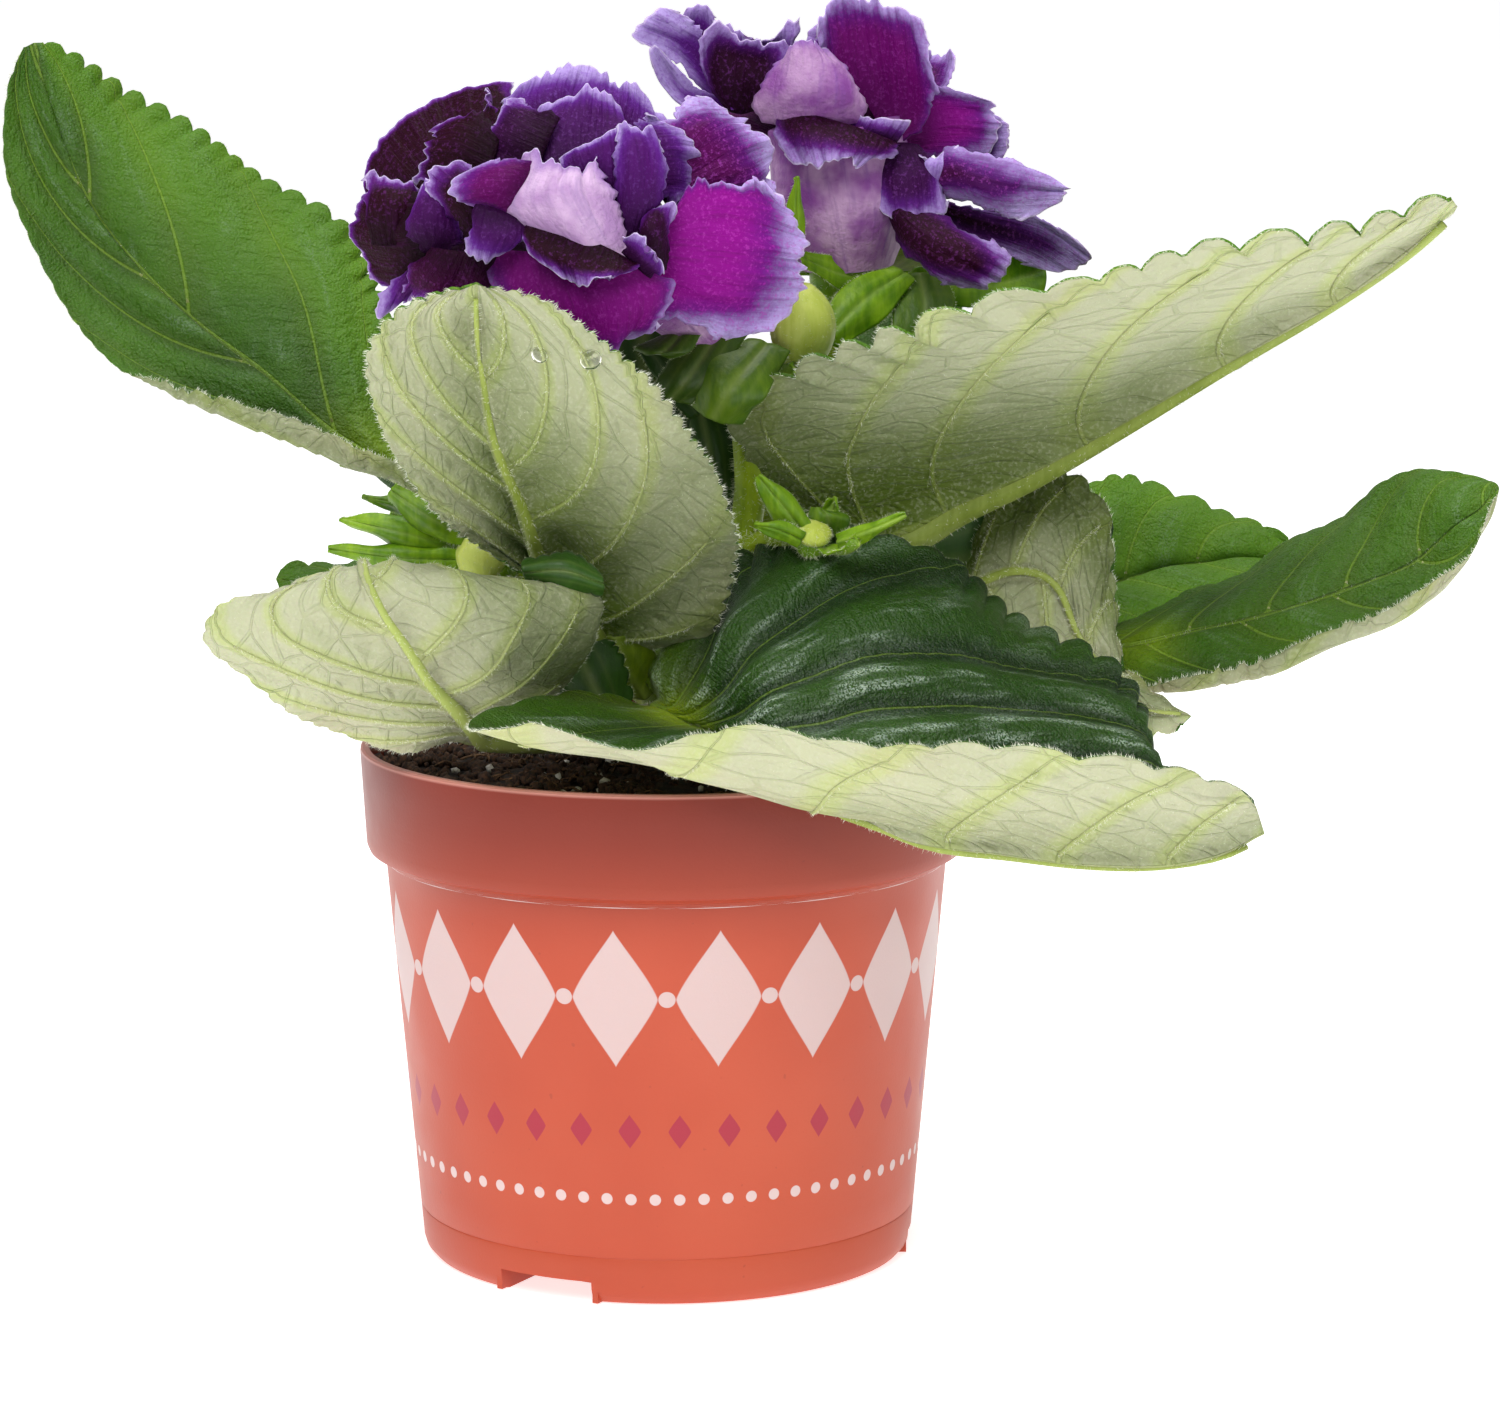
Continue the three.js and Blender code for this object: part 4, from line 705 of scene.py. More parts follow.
# The camera: its place in mm, how far it looks down and to the right in radians, and its focal length in
# the pixels of a picture 1500 wide and 1402 high.
EYE = [0, -967, 266]
DOWN = 0.161
RIGHTWARD = 0.017
FOCUS = 4995
PICTURE = [1500, 1402]

BLADE_HALF = 0.3  # half a leaf blade's thickness
SEPAL_HALF = 0.25  # half a sepal's thickness
PETAL_HALF = 0.22  # half a petal's thickness
PETAL_RIM_HALF = 0.06  # half its thickness at the very edge
SCALLOP_POWER = 0.65  # how round a scallop is: 1 for a sine's half wave, less for a blunter one
RUFFLES = 7.5  # how fast a rear petal's or sepal's main ruffle turns, in radians from its middle to its side
MARGIN = 0.72  # how far out a blade's margin begins to wave, as a share of its half width
BLADE_END = 0.97  # how far along a leaf its midrib and side veins go
ROUND_TIP = 0.16  # how far a sepal's corners fall short of its tip, as a share of its length


# ---------------------------------------------------------------- lines and surfaces
def unit(vectors):
    """The vectors at length 1."""
    return vectors / np.maximum(np.linalg.norm(vectors, axis=-1, keepdims=True), 1e-9)


def smoothstep(low, high, value):
    """0 below low, 1 above high, and a soft step between them."""
    x = np.clip((value - low) / (high - low), 0, 1)
    return x * x * (3 - 2 * x)


def seen(places):
    """The points in mm that the camera sees at [pixel across, pixel down, depth y in mm]."""
    places = np.array(places, float)
    across = (places[..., :1] - PICTURE[0] / 2) / FOCUS
    above = (PICTURE[1] / 2 - places[..., 1:2]) / FOCUS
    level = math.cos(DOWN)
    ahead = np.array([math.sin(RIGHTWARD) * level, math.cos(RIGHTWARD) * level, -math.sin(DOWN)])
    right = np.array([math.cos(RIGHTWARD), -math.sin(RIGHTWARD), 0])
    ways = ahead + right * across + np.cross(right, ahead) * above
    return EYE + ways * (places[..., 2:] - EYE[1]) / ways[..., 1:2]


class Rail:
    """A smooth line through points that are spaced evenly in t."""

    def __init__(self, points):
        p = np.array(points, float)
        self.knots = np.vstack([2 * p[0] - p[1], p, 2 * p[-1] - p[-2]])
        self.spans = len(p) - 1
        t = np.linspace(0, 1, 201)
        steps = np.linalg.norm(np.diff(self.at(t), axis=0), axis=1)
        gone = np.concatenate([[0], np.cumsum(steps)])
        self.length = gone[-1]
        self.table = (gone / self.length, t)

    def pieces(self, t):
        """For each t: how far it is through its span, the span's ends and the tangents at them."""
        x = np.clip(np.asarray(t, float), 0, 1) * self.spans
        k = np.minimum(x.astype(int), self.spans - 1)
        near = [self.knots[k + i] for i in range(4)]
        return (x - k)[..., None], near[1], near[2], 0.5 * (near[2] - near[0]), 0.5 * (near[3] - near[1])

    def at(self, t):
        """The point at each t."""
        w, a, b, leave, arrive = self.pieces(t)
        turn = (w**3 - 2 * w**2 + w) * leave + (w**3 - w**2) * arrive
        return (2 * w**3 - 3 * w**2 + 1) * a + (3 * w**2 - 2 * w**3) * b + turn

    def tangent(self, t):
        """The line's direction at each t."""
        w, a, b, leave, arrive = self.pieces(t)
        turn = (3 * w**2 - 4 * w + 1) * leave + (3 * w**2 - 2 * w) * arrive
        return unit((6 * w**2 - 6 * w) * (a - b) + turn)

    def even(self, share):
        """The t at each share of the line's length."""
        return np.interp(share, *self.table)


def grid_normals(points):
    """Unit normals of a grid of points, to the side that (second axis) x (first axis) looks."""
    along, across = np.gradient(points, axis=(0, 1))
    return unit(np.cross(across, along))


def grid_faces(rows, columns, first=0, flip=False):
    """The quads of a grid of points, numbered row by row from first."""
    i, j = np.meshgrid(np.arange(rows - 1), np.arange(columns - 1), indexing="ij")
    a = (first + i * columns + j).ravel()
    quads = np.stack([a, a + 1, a + 1 + columns, a + columns], 1)
    return quads[:, ::-1] if flip else quads


def ring_faces(rows, sides, close_first=True):
    """The faces of a tube of rings of points, closed at its last ring and, if asked, at its first."""
    faces = []
    for ring in range(0, (rows - 1) * sides, sides):
        for j in range(sides):
            a, b = ring + j, ring + (j + 1) % sides
            faces.append([a, b, b + sides, a + sides])
    if close_first:
        faces.append(list(range(sides))[::-1])
    faces.append([(rows - 1) * sides + j for j in range(sides)])
    return faces


def side_edges(points):
    """Each side of a grid of points: its column, its points, and their directions away from the grid."""
    for column, inner in ((0, 1), (-1, -2)):
        yield column, points[:, column], unit(points[:, column] - points[:, inner])


def bent_ball(rows, columns, radius_at):
    """A grid of points round a ball whose radius is radius_at(angle from its top, angle round it)."""
    down, turn = np.meshgrid(np.linspace(0, np.pi, rows), np.linspace(0, 2 * np.pi, columns), indexing="ij")
    radius = radius_at(down, turn)
    across = radius * np.sin(down)
    return np.stack([across * np.cos(turn), across * np.sin(turn), radius * np.cos(down)], -1)


def tube_rings(points, radii, sides):
    """Rings of points round a line, turned as little as possible from one to the next."""
    along = unit(np.gradient(points, axis=0))
    side = np.array([0.3, 1, 0.2])
    angles = np.linspace(0, 2 * np.pi, sides, endpoint=False)
    rings = np.zeros((len(points), sides, 3))
    for i, centre in enumerate(points):
        side = unit(side - along[i] * side.dot(along[i]))
        other = np.cross(along[i], side)
        ring = np.cos(angles)[:, None] * side + np.sin(angles)[:, None] * other
        rings[i] = centre + ring * np.reshape(radii[i], (-1, 1))
    return rings


class Piece:
    """One Blender object gathered from several shapes, each with values at its points."""

    def __init__(self):
        self.points = []
        self.faces = []
        self.slots = []
        self.values = []
        self.count = 0

    def add(self, points, faces, slot=0, **values):
        """Adds points (any shape x 3) and faces that count from 0; a value is one number or one a point."""
        points = np.reshape(points, (-1, 3))
        self.points.append(points)
        for face in faces:
            self.faces.append([int(k) + self.count for k in face])
        slots = np.broadcast_to(slot, len(faces))
        self.slots.extend(int(k) for k in slots)
        self.values.append((self.count, len(points), values))
        self.count += len(points)

    def sheet(self, points, above, below, slots=(0, 1), **values):
        """Adds a closed sheet round a grid of points, its faces that far above and below them."""
        rows, columns = points.shape[:2]
        normals = grid_normals(points)
        upper = points + normals * np.reshape(above, (*np.shape(above), 1))
        lower = points - normals * np.reshape(below, (*np.shape(below), 1))
        count = rows * columns
        top = grid_faces(rows, columns)
        bottom = grid_faces(rows, columns, count, flip=True)
        index = np.arange(count).reshape(rows, columns)
        loop = [*index[0, :-1], *index[:-1, -1], *index[-1, :0:-1], *index[:0:-1, 0]]
        rim = [[b, a, a + count, b + count] for a, b in zip(loop, loop[1:] + loop[:1])]
        faces = [*top.tolist(), *bottom.tolist(), *rim]
        slot = np.repeat([slots[0], slots[1], slots[0]], [len(top), len(bottom), len(rim)])
        twice = {name: self.doubled(value) for name, value in values.items()}
        self.add(np.stack([upper, lower]), faces, slot, **twice)

    @staticmethod
    def doubled(value):
        """A grid's values once for the upper points and once for the lower ones."""
        if np.ndim(value) == 3:
            return np.tile(np.reshape(value, (-1, 3)), (2, 1))
        return np.tile(np.ravel(value), 2) if np.size(value) > 1 else value

    def tube(self, points, radii, sides, slot=0, **values):
        """Adds a round tube with closed ends."""
        rings = tube_rings(points, radii, sides)
        spread = {name: np.repeat(v, sides) if np.size(v) > 1 else v for name, v in values.items()}
        self.add(rings, ring_faces(len(points), sides), slot, **spread)

    def done(self, name, materials, slot, replaces=None):
        """Makes the object, in metres, riding on the plant."""
        mesh = bpy.data.meshes.new(name)
        points = np.concatenate(self.points) * MM
        mesh.from_pydata(points.tolist(), [], self.faces)
        for material in materials:
            mesh.materials.append(material)
        mesh.polygons.foreach_set("material_index", self.slots)
        mesh.polygons.foreach_set("use_smooth", [True] * len(self.faces))
        names = sorted({key for _, _, values in self.values for key in values})
        for key in names:
            self.write(mesh, key)
        mesh.validate()
        made = bpy.data.objects.new(name, mesh)
        bpy.context.scene.collection.objects.link(made)
        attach(made, "root")
        if replaces:
            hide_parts(replaces)
        return made

    def write(self, mesh, key):
        """Writes one named value to the mesh's points."""
        given = [np.asarray(values[key]) for _, _, values in self.values if key in values]
        wide = any(value.ndim == 2 for value in given)
        data = np.zeros((self.count, 3) if wide else self.count)
        for start, count, values in self.values:
            if key in values:
                data[start : start + count] = values[key]
        kind, field = ("FLOAT_VECTOR", "vector") if wide else ("FLOAT", "value")
        mesh.attributes.new(key, kind, "POINT").data.foreach_set(field, data.ravel())


class Hairs:
    """Fine hairs as narrow triangles, gathered for one object."""

    def __init__(self, seed):
        self.random = np.random.default_rng(seed)
        self.points = []

    def grow(self, roots, directions, length, width=0.075, spread=0.35):
        """A hair at each root, near its direction, its length varied by a third."""
        roots, directions = np.reshape(roots, (-1, 3)), np.reshape(directions, (-1, 3))
        count = len(roots)
        lean = self.random.normal(0, spread, (count, 3))
        ways = unit(directions + lean)
        long = length * self.random.uniform(0.65, 1.2, (count, 1))
        side = unit(np.cross(ways, self.random.normal(0, 1, (count, 3)))) * width / 2
        self.points.append(np.stack([roots - side, roots + side, roots + ways * long], 1))

    def done(self, name, material, slot):
        """Makes one object of all the hairs."""
        points = np.concatenate(self.points)
        piece = Piece()
        piece.add(points, np.arange(len(points) * 3).reshape(-1, 3))
        return piece.done(name, [material], slot)


# ---------------------------------------------------------------- materials
def rgb(code):
    """A colour written as six hexadecimal digits, in the linear values that shaders take."""
    parts = [int(code[i : i + 2], 16) / 255 for i in (0, 2, 4)]
    return [c / 12.92 if c <= 0.04045 else ((c + 0.055) / 1.055) ** 2.4 for c in parts]


class Surface:
    """One material, with short calls for its nodes."""

    def __init__(self, name, colour, **settings):
        self.material = bpy.data.materials.new(name)
        self.material.use_nodes = True
        self.material.diffuse_color = (*rgb(colour), 1)
        self.tree = self.material.node_tree
        self.shader = self.tree.nodes["Principled BSDF"]
        self.shader.inputs["Base Color"].default_value = (*rgb(colour), 1)
        for key, value in settings.items():
            self.shader.inputs[key.replace("_", " ").title().replace("Ior", "IOR")].default_value = value

    def put(self, socket, value):
        """Feeds a socket from another one, or sets it."""
        if isinstance(value, bpy.types.NodeSocket):
            self.tree.links.new(value, socket)
        elif isinstance(value, str):
            socket.default_value = (*rgb(value), 1)
        else:
            socket.default_value = value

    def node(self, kind, **inputs):
        """A new shader node with its inputs fed or set."""
        made = self.tree.nodes.new("ShaderNode" + kind)
        for key, value in inputs.items():
            self.put(made.inputs[key], value)
        return made

    def attribute(self, name, output="Fac"):
        """A value written at the mesh's points."""
        made = self.node("Attribute")
        made.attribute_name = name
        return made.outputs[output]

    def math(self, operation, *values):
        """A calculation with sockets or numbers."""
        made = self.node("Math")
        made.operation = operation
        for socket, value in zip(made.inputs, values):
            self.put(socket, value)
        return made.outputs[0]

    def plus(self, first, second):
        """Their sum."""
        return self.math("ADD", first, second)

    def minus(self, first, second):
        """The first less the second."""
        return self.math("SUBTRACT", first, second)

    def times(self, first, second):
        """Their product."""
        return self.math("MULTIPLY", first, second)

    def step(self, value, low, high, bottom=0.0, top=1.0):
        """A soft step of value from bottom at low to top at high."""
        made = self.node("MapRange", Value=value)
        made.interpolation_type = "SMOOTHSTEP"
        for key, number in (("From Min", low), ("From Max", high), ("To Min", bottom), ("To Max", top)):
            self.put(made.inputs[key], number)
        return made.outputs[0]

    def mix(self, share, first, second, blend="MIX"):
        """Two colours mixed, second by its share. Sockets 6 and 7 and output 2 are the node's colours."""
        made = self.tree.nodes.new("ShaderNodeMix")
        made.data_type = "RGBA"
        made.blend_type = blend
        self.put(made.inputs[0], share)
        self.put(made.inputs[6], first)
        self.put(made.inputs[7], second)
        return made.outputs[2]

    def places(self):
        """The place on the object, in metres."""
        return self.node("TexCoord").outputs["Object"]

    def scaled(self, vector, factors):
        """The vector with each of its parts times a factor."""
        made = self.node("VectorMath")
        made.operation = "MULTIPLY"
        self.put(made.inputs[0], vector)
        made.inputs[1].default_value = factors
        return made.outputs[0]

    def noise(self, vector, scale, detail=3.0, roughness=0.55):
        """Cloudy noise about 0.5."""
        made = self.node("TexNoise", Vector=vector, Scale=scale, Detail=detail, Roughness=roughness)
        return made.outputs["Fac"]

    def cells(self, vector, scale, randomness=1.0):
        """The distance to the nearest edge between random cells."""
        made = self.node("TexVoronoi", Vector=vector, Scale=scale, Randomness=randomness)
        made.feature = "DISTANCE_TO_EDGE"
        return made.outputs["Distance"]

    def colour(self, value):
        """Feeds the shader its colour."""
        self.put(self.shader.inputs["Base Color"], value)

    def bump(self, height, distance, strength=1.0):
        """Relief in which a height of 1 stands for that distance in metres."""
        made = self.node("Bump", Height=height, Distance=distance, Strength=strength)
        self.put(self.shader.inputs["Normal"], made.outputs[0])


def side_veins(s, width):
    """1 on a leaf's side veins and midrib, 0 off them. width: half a side vein's width at the midrib, in mm,
    and the midrib's as a share of its radius."""
    number, across, _ = s.node("SeparateXYZ", Vector=s.attribute("flat", "Vector")).outputs
    beside = s.minus(s.math("FRACT", s.plus(number, 0.5)), 0.5)
    distance = s.times(s.math("ABSOLUTE", beside), s.attribute("gap"))
    taper = s.step(s.attribute("reach"), 0.0, 1.0, width, width * 0.35)
    side = s.step(distance, s.times(taper, 0.35), taper, 1.0, 0.0)
    rib = s.times(s.attribute("rib"), width)
    middle = s.step(s.math("ABSOLUTE", across), s.times(rib, 0.7), rib, 1.0, 0.0)
    return s.math("MAXIMUM", side, middle)


def net_veins(s, scale, width):
    """1 on the net of small veins between the side veins, 0 off it."""
    place = s.scaled(s.attribute("net", "Vector"), (1.3 * scale, 0.13 * scale, 1.0))
    return s.step(s.cells(place, 1.0, 0.85), width * 0.3, width, 1.0, 0.0)


def blade_green(s, place):
    """A blade's green: lighter where its tone is high, its painted shade is low and it swells."""
    cloud = s.times(s.minus(s.noise(place, 45.0, 3.0), 0.5), 0.5)
    # Painted shade: the shade attribute darkens the green.
    shade = s.times(s.minus(s.attribute("shade"), 0.3), 0.7)
    light = s.minus(s.plus(s.attribute("tone"), cloud), shade)
    green = s.mix(s.step(light, -0.1, 1.0), "0B2805", "5A840C")
    return s.mix(s.step(s.attribute("swell"), 0.0, 0.7, 0.0, 0.3), green, "3C6C08")


def painted_velvet_glints(s, place, streak, velvet):
    """Painted glints: how much lighter a blade's ridges are painted where they catch the light, in fine
    streaks.
    """
    glints = s.times(s.step(streak, 0.47, 0.66), s.step(s.attribute("swell"), 0.1, 0.8, 0.15, 1.0))
    grain = s.step(s.noise(place, 2600.0, 1.0), 0.38, 0.62)
    glints = s.times(s.times(glints, grain), velvet)
    return s.times(glints, s.step(s.attribute("reach"), 0.55, 0.95, 1.0, 0.3))


def yellow_base(s, green, base, streak, young, velvet):
    """The green turned yellower towards the leaf's base, most of all between the halves of a velvet leaf."""
    near = s.times(s.math("POWER", base, 1.1), s.step(s.attribute("reach"), 0.05, 0.7, 1.0, 0.25))
    near = s.times(near, s.step(streak, 0.3, 0.6, 0.6, 1.0))
    green = s.mix(near, green, "86A60C")
    heart = s.step(s.attribute("along"), 0.1 * young, 0.95 * young, 0.9 * velvet, 0.0)
    heart = s.times(heart, s.step(s.attribute("reach"), 0.15, 0.6, 1.0, 0.1))
    return s.mix(heart, green, "A4BA18")


def leaf_top_material(name, velvet, young, **settings):
    """The upper side of a leaf. velvet: how strongly painted glints light up its ridges. young: how far
    along the leaf its yellow base reaches."""
    s = Surface(
        name, "2B5218", sheen_roughness=0.3, sheen_tint=(*rgb("E4F0E6"), 1), subsurface_weight=0.15,
        subsurface_scale=0.002, subsurface_radius=(0.5, 1.0, 0.1), **settings)
    place = s.places()
    fine = s.noise(place, 1900.0, 2.0)
    streak = s.noise(s.scaled(s.attribute("flat", "Vector"), (4.0, 0.0, 0.06)), 1.0, 3.0)
    veins = side_veins(s, 0.5)
    base = s.step(s.attribute("along"), 0.0, young, 1.0, 0.0)
    # Painted glints: the ridges of a velvet leaf turn whitish where they catch the light.
    green = s.mix(painted_velvet_glints(s, place, streak, velvet), blade_green(s, place), "AEC0AE")
    green = s.mix(s.step(fine, 0.5, 0.75, 0.0, 0.12), green, "7C9C50")
    green = yellow_base(s, green, base, streak, young, velvet)
    faint = s.plus(0.3, s.times(base, 0.6))
    s.colour(s.mix(s.times(veins, faint), green, "90B23A"))
    relief = s.plus(s.times(fine, 0.8), s.times(s.cells(place, 1200.0), 0.7))
    relief = s.plus(relief, s.times(net_veins(s, 2.2, 0.25), 0.4))
    relief = s.plus(relief, s.times(streak, 3.0 * velvet))
    relief = s.minus(relief, s.times(veins, 0.5))
    s.bump(relief, 0.00045)
    return s.material


def leaf_under_material():
    """The felted underside of a leaf, with raised veins, a fine net between them and painted shade."""
    s = Surface(
        "leaf_under", "A3A97C", roughness=0.62, sheen_weight=0.08, sheen_roughness=0.4,
        sheen_tint=(*rgb("EEF2DD"), 1), subsurface_weight=0.2, subsurface_scale=0.002,
        subsurface_radius=(0.6, 1.0, 0.3), specular_ior_level=0.3)
    place = s.places()
    fine = s.noise(place, 1300.0, 2.0)
    veins = side_veins(s, 0.6)
    net = net_veins(s, 1.0, 0.045)
    cloud = s.times(s.minus(s.noise(place, 60.0, 4.0), 0.5), 0.35)
    # Painted shade: the underside turns dark olive where its shade is high.
    dark = s.step(s.plus(s.attribute("shade"), cloud), -0.1, 1.15)
    light = s.mix(s.step(s.attribute("swell"), 0.0, 0.45), "B9C086", "BCBD9E")
    green = s.mix(dark, light, "4A5E02")
    green = s.mix(s.step(fine, 0.45, 0.75, 0.0, 0.22), green, "CDCFB4")
    patches = s.step(s.noise(place, 25.0, 2.0), 0.5, 0.75)
    blush = s.times(patches, s.step(s.attribute("reach"), 0.6, 1.0, 0.0, 0.22))
    green = s.mix(blush, green, "A88A6C")
    green = s.mix(s.times(net, 0.15), green, "C4D09C", "MULTIPLY")
    s.colour(s.mix(s.times(veins, 0.5), green, s.mix(dark, "A6AE76", "7C8C36")))
    pillows = s.plus(net_veins(s, 1.0, 0.45), s.times(net_veins(s, 3.0, 0.4), 0.25))
    relief = s.plus(s.times(fine, 0.2), s.times(pillows, 0.62))
    relief = s.plus(relief, s.times(net, 0.2))
    relief = s.plus(relief, s.times(veins, 0.3))
    s.bump(relief, 0.001)
    return s.material


def green_material(name, dark, light, roughness=0.5):
    """Stems, ribs, sepals and buds: mottled along their length, with a fine grain. It reads how much painted
    shade darkens them (deep) and where their pale lines run (line)."""
    s = Surface(
        name, light, roughness=roughness, sheen_weight=0.05, sheen_roughness=0.4, subsurface_weight=0.1,
        subsurface_scale=0.002, subsurface_radius=(0.6, 1.0, 0.2), specular_ior_level=0.3)
    place = s.places()
    streak = s.noise(s.scaled(place, (900.0, 900.0, 60.0)), 1.0, 2.0)
    share = s.plus(s.times(s.noise(place, 120.0, 3.0), 0.7), s.times(streak, 0.4))
    green = s.mix(s.step(share, 0.3, 0.8), dark, light)
    # Painted shade: darker green where they lie in shade.
    green = s.mix(s.attribute("deep"), green, "1A3008")
    s.colour(s.mix(s.times(s.attribute("line"), 0.45), green, "C4D27E"))
    s.bump(s.plus(s.noise(place, 1400.0, 2.0), streak), 0.00012, 0.8)
    return s.material


def petal_heart(s, red, band, away):
    """A petal's violet, and its heart from violet over maroon to magenta. away: the ragged distance from the
    petal's edge, in mm."""
    dark = s.mix(s.step(red, 0.05, 0.5), "4A1060", "240212")
    heart = s.mix(s.step(red, 0.5, 1.0), dark, "8A0C86")
    violet = s.mix(s.step(red, 0.1, 0.6), "60248C", "5C1A7C")
    wide = s.plus(0.8, s.times(band, 6.5))
    return s.mix(s.step(away, s.times(wide, 0.3), s.times(wide, 1.85)), violet, heart)


def petal_margin(s, colour, band, away, edge):
    """The colour turned lilac in the light edge, and whitish on its very rim."""
    wide = s.plus(0.4, s.times(band, 6.2))
    share = s.step(away, s.times(wide, -0.1), s.times(wide, 1.1), 1.0, 0.0)
    share = s.times(share, s.plus(0.6, s.times(band, 0.4)))
    colour = s.mix(share, colour, "BCA6E2")
    rim = s.plus(0.12, s.times(band, 0.2))
    return s.mix(s.step(edge, s.times(rim, 0.4), s.times(rim, 1.8), 0.85, 0.0), colour, "D8C8EE")


def petal_face_material():
    """The inner side of the petals, which the photograph shows of most of them."""
    s = Surface(
        "petal_face", "4E1060", roughness=0.55, subsurface_weight=0.12, subsurface_scale=0.0012,
        subsurface_radius=(0.8, 0.4, 1.0), specular_ior_level=0.08)
    place = s.places()
    edge, band, red = (s.attribute(name) for name in ("edge", "band", "red"))
    rough = s.noise(place, 1300.0, 2.0, 0.7)
    streak = s.noise(s.scaled(s.attribute("flow", "Vector"), (1.7, 0.11, 1.0)), 1.0, 2.0)
    uneven = s.plus(s.times(streak, 0.7), s.times(s.noise(place, 170.0, 3.0), 1.6))
    ragged = s.minus(s.plus(uneven, rough), 1.65)
    away = s.plus(edge, s.times(ragged, s.plus(1.0, s.times(band, 2.2))))
    colour = petal_margin(s, petal_heart(s, red, band, away), band, away, edge)
    speckle = s.times(s.step(rough, 0.5, 0.72), s.plus(0.1, s.times(band, 0.35)))
    colour = s.mix(speckle, colour, s.mix(red, "8A58C0", "BC3CB4"))
    # Painted shade: the petal darkens to near black towards its root, where the petals shade each other.
    painted_root_shade = s.step(s.attribute("out"), 0.05, 0.68, 0.95, 0.0)
    colour = s.mix(s.times(painted_root_shade, s.minus(1.0, band)), colour, "16020E")
    s.colour(s.mix(s.step(streak, 0.48, 0.78, 0.0, 0.32), colour, s.mix(red, "26083A", "4A0840")))
    s.bump(s.plus(s.times(rough, 0.7), streak), 0.0004, 0.9)
    return s.material


def petal_back_material():
    """The outer side of the petals and the bells: from dark to pale lilac, streaked."""
    s = Surface(
        "petal_back", "A98CB8", roughness=0.55, sheen_weight=0.03, sheen_roughness=0.35,
        subsurface_weight=0.15, subsurface_scale=0.0015, subsurface_radius=(0.9, 0.5, 1.0),
        specular_ior_level=0.2)
    place = s.places()
    pale, edge = s.attribute("pale"), s.attribute("edge")
    streak = s.noise(s.scaled(s.attribute("flow", "Vector"), (0.8, 0.07, 1.0)), 1.0, 3.0)
    dark = s.mix(s.step(streak, 0.4, 0.7), "2E1034", "6A4070")
    lilac = s.mix(s.step(s.noise(place, 110.0, 3.0), 0.35, 0.7), "8C4A9C", "CCA4CE")
    lilac = s.mix(s.step(streak, 0.48, 0.75, 0.0, 0.65), lilac, "7C4A98")
    lilac = s.mix(s.step(pale, 0.95, 1.3, 0.0, 0.45), lilac, "E2D6E8")
    colour = s.mix(s.step(pale, 0.1, 0.95), dark, lilac)
    colour = s.mix(s.step(edge, 0.3, 3.0, 0.5, 0.0), colour, "7A4AA8")
    s.colour(s.mix(s.step(edge, 0.05, 0.3, 0.8, 0.0), colour, "D8C8EE"))
    s.bump(s.plus(streak, s.noise(place, 1300.0, 2.0)), 0.0004, 0.9)
    return s.material


def hair_material(name, colour):
    """Plain matt hairs."""
    return Surface(name, colour, roughness=0.6, subsurface_weight=0.0).material


def soil_material():
    """The bed under the crumbs: dark, with paler patches."""
    s = Surface("soil", "2B1C14", roughness=0.95)
    place = s.places()
    colour = s.mix(s.step(s.noise(place, 500.0, 4.0), 0.35, 0.7), "140C09", "3E2A1D")
    s.colour(s.mix(s.step(s.noise(place, 160.0, 2.0), 0.55, 0.8, 0.0, 0.5), colour, "5E4430"))
    s.bump(s.noise(place, 700.0, 5.0, 0.7), 0.0012)
    return s.material


def chip_material(name, dark, light):
    """Crumbs, grit and fibres, mottled from dark to light."""
    s = Surface(name, light, roughness=0.9)
    place = s.places()
    s.colour(s.mix(s.step(s.noise(place, 1200.0, 3.0), 0.3, 0.7), dark, light))
    s.bump(s.noise(place, 1500.0, 3.0), 0.0004)
    return s.material


def pot_material():
    """Smooth orange plastic with its print, with painted shade high up under the leaves and a painted
    highlight on top of the rim.
    """
    s = Surface(
        "pot_plastic", "B85238", roughness=0.4, specular_ior_level=0.3, subsurface_weight=0.08,
        subsurface_scale=0.003, subsurface_radius=(1.0, 0.35, 0.2))
    place = s.places()
    height = s.node("SeparateXYZ", Vector=place).outputs[2]
    colour = s.mix(s.step(s.noise(place, 14.0, 3.0), 0.3, 0.7), "B5492F", "C05439")
    specks = s.step(s.noise(place, 650.0, 1.0), 0.76, 0.82, 0.0, 0.4)
    colour = s.mix(specks, colour, "8F3C2E")
    # Painted shade: the wall darkens high up, where the leaves shade it.
    painted_leaf_shade = s.step(height, 0.062, 0.098, 0.0, 0.75)
    colour = s.mix(painted_leaf_shade, colour, "5E140C")
    # Painted highlight: the top of the rim is lighter, where the light falls on it.
    painted_rim_highlight = s.step(height, 0.1, 0.1006)
    colour = s.mix(painted_rim_highlight, colour, "BE8074")
    s.colour(printed(s, colour))
    smears = s.noise(place, 40.0, 4.0)
    s.put(s.shader.inputs["Roughness"], s.step(smears, 0.2, 0.8, 0.32, 0.46))
    scratches = s.noise(s.scaled(place, (90.0, 90.0, 900.0)), 1.0, 2.0)
    s.bump(s.plus(s.noise(place, 1800.0, 2.0), s.times(scratches, 0.6)), 0.00004, 0.7)
    return s.material


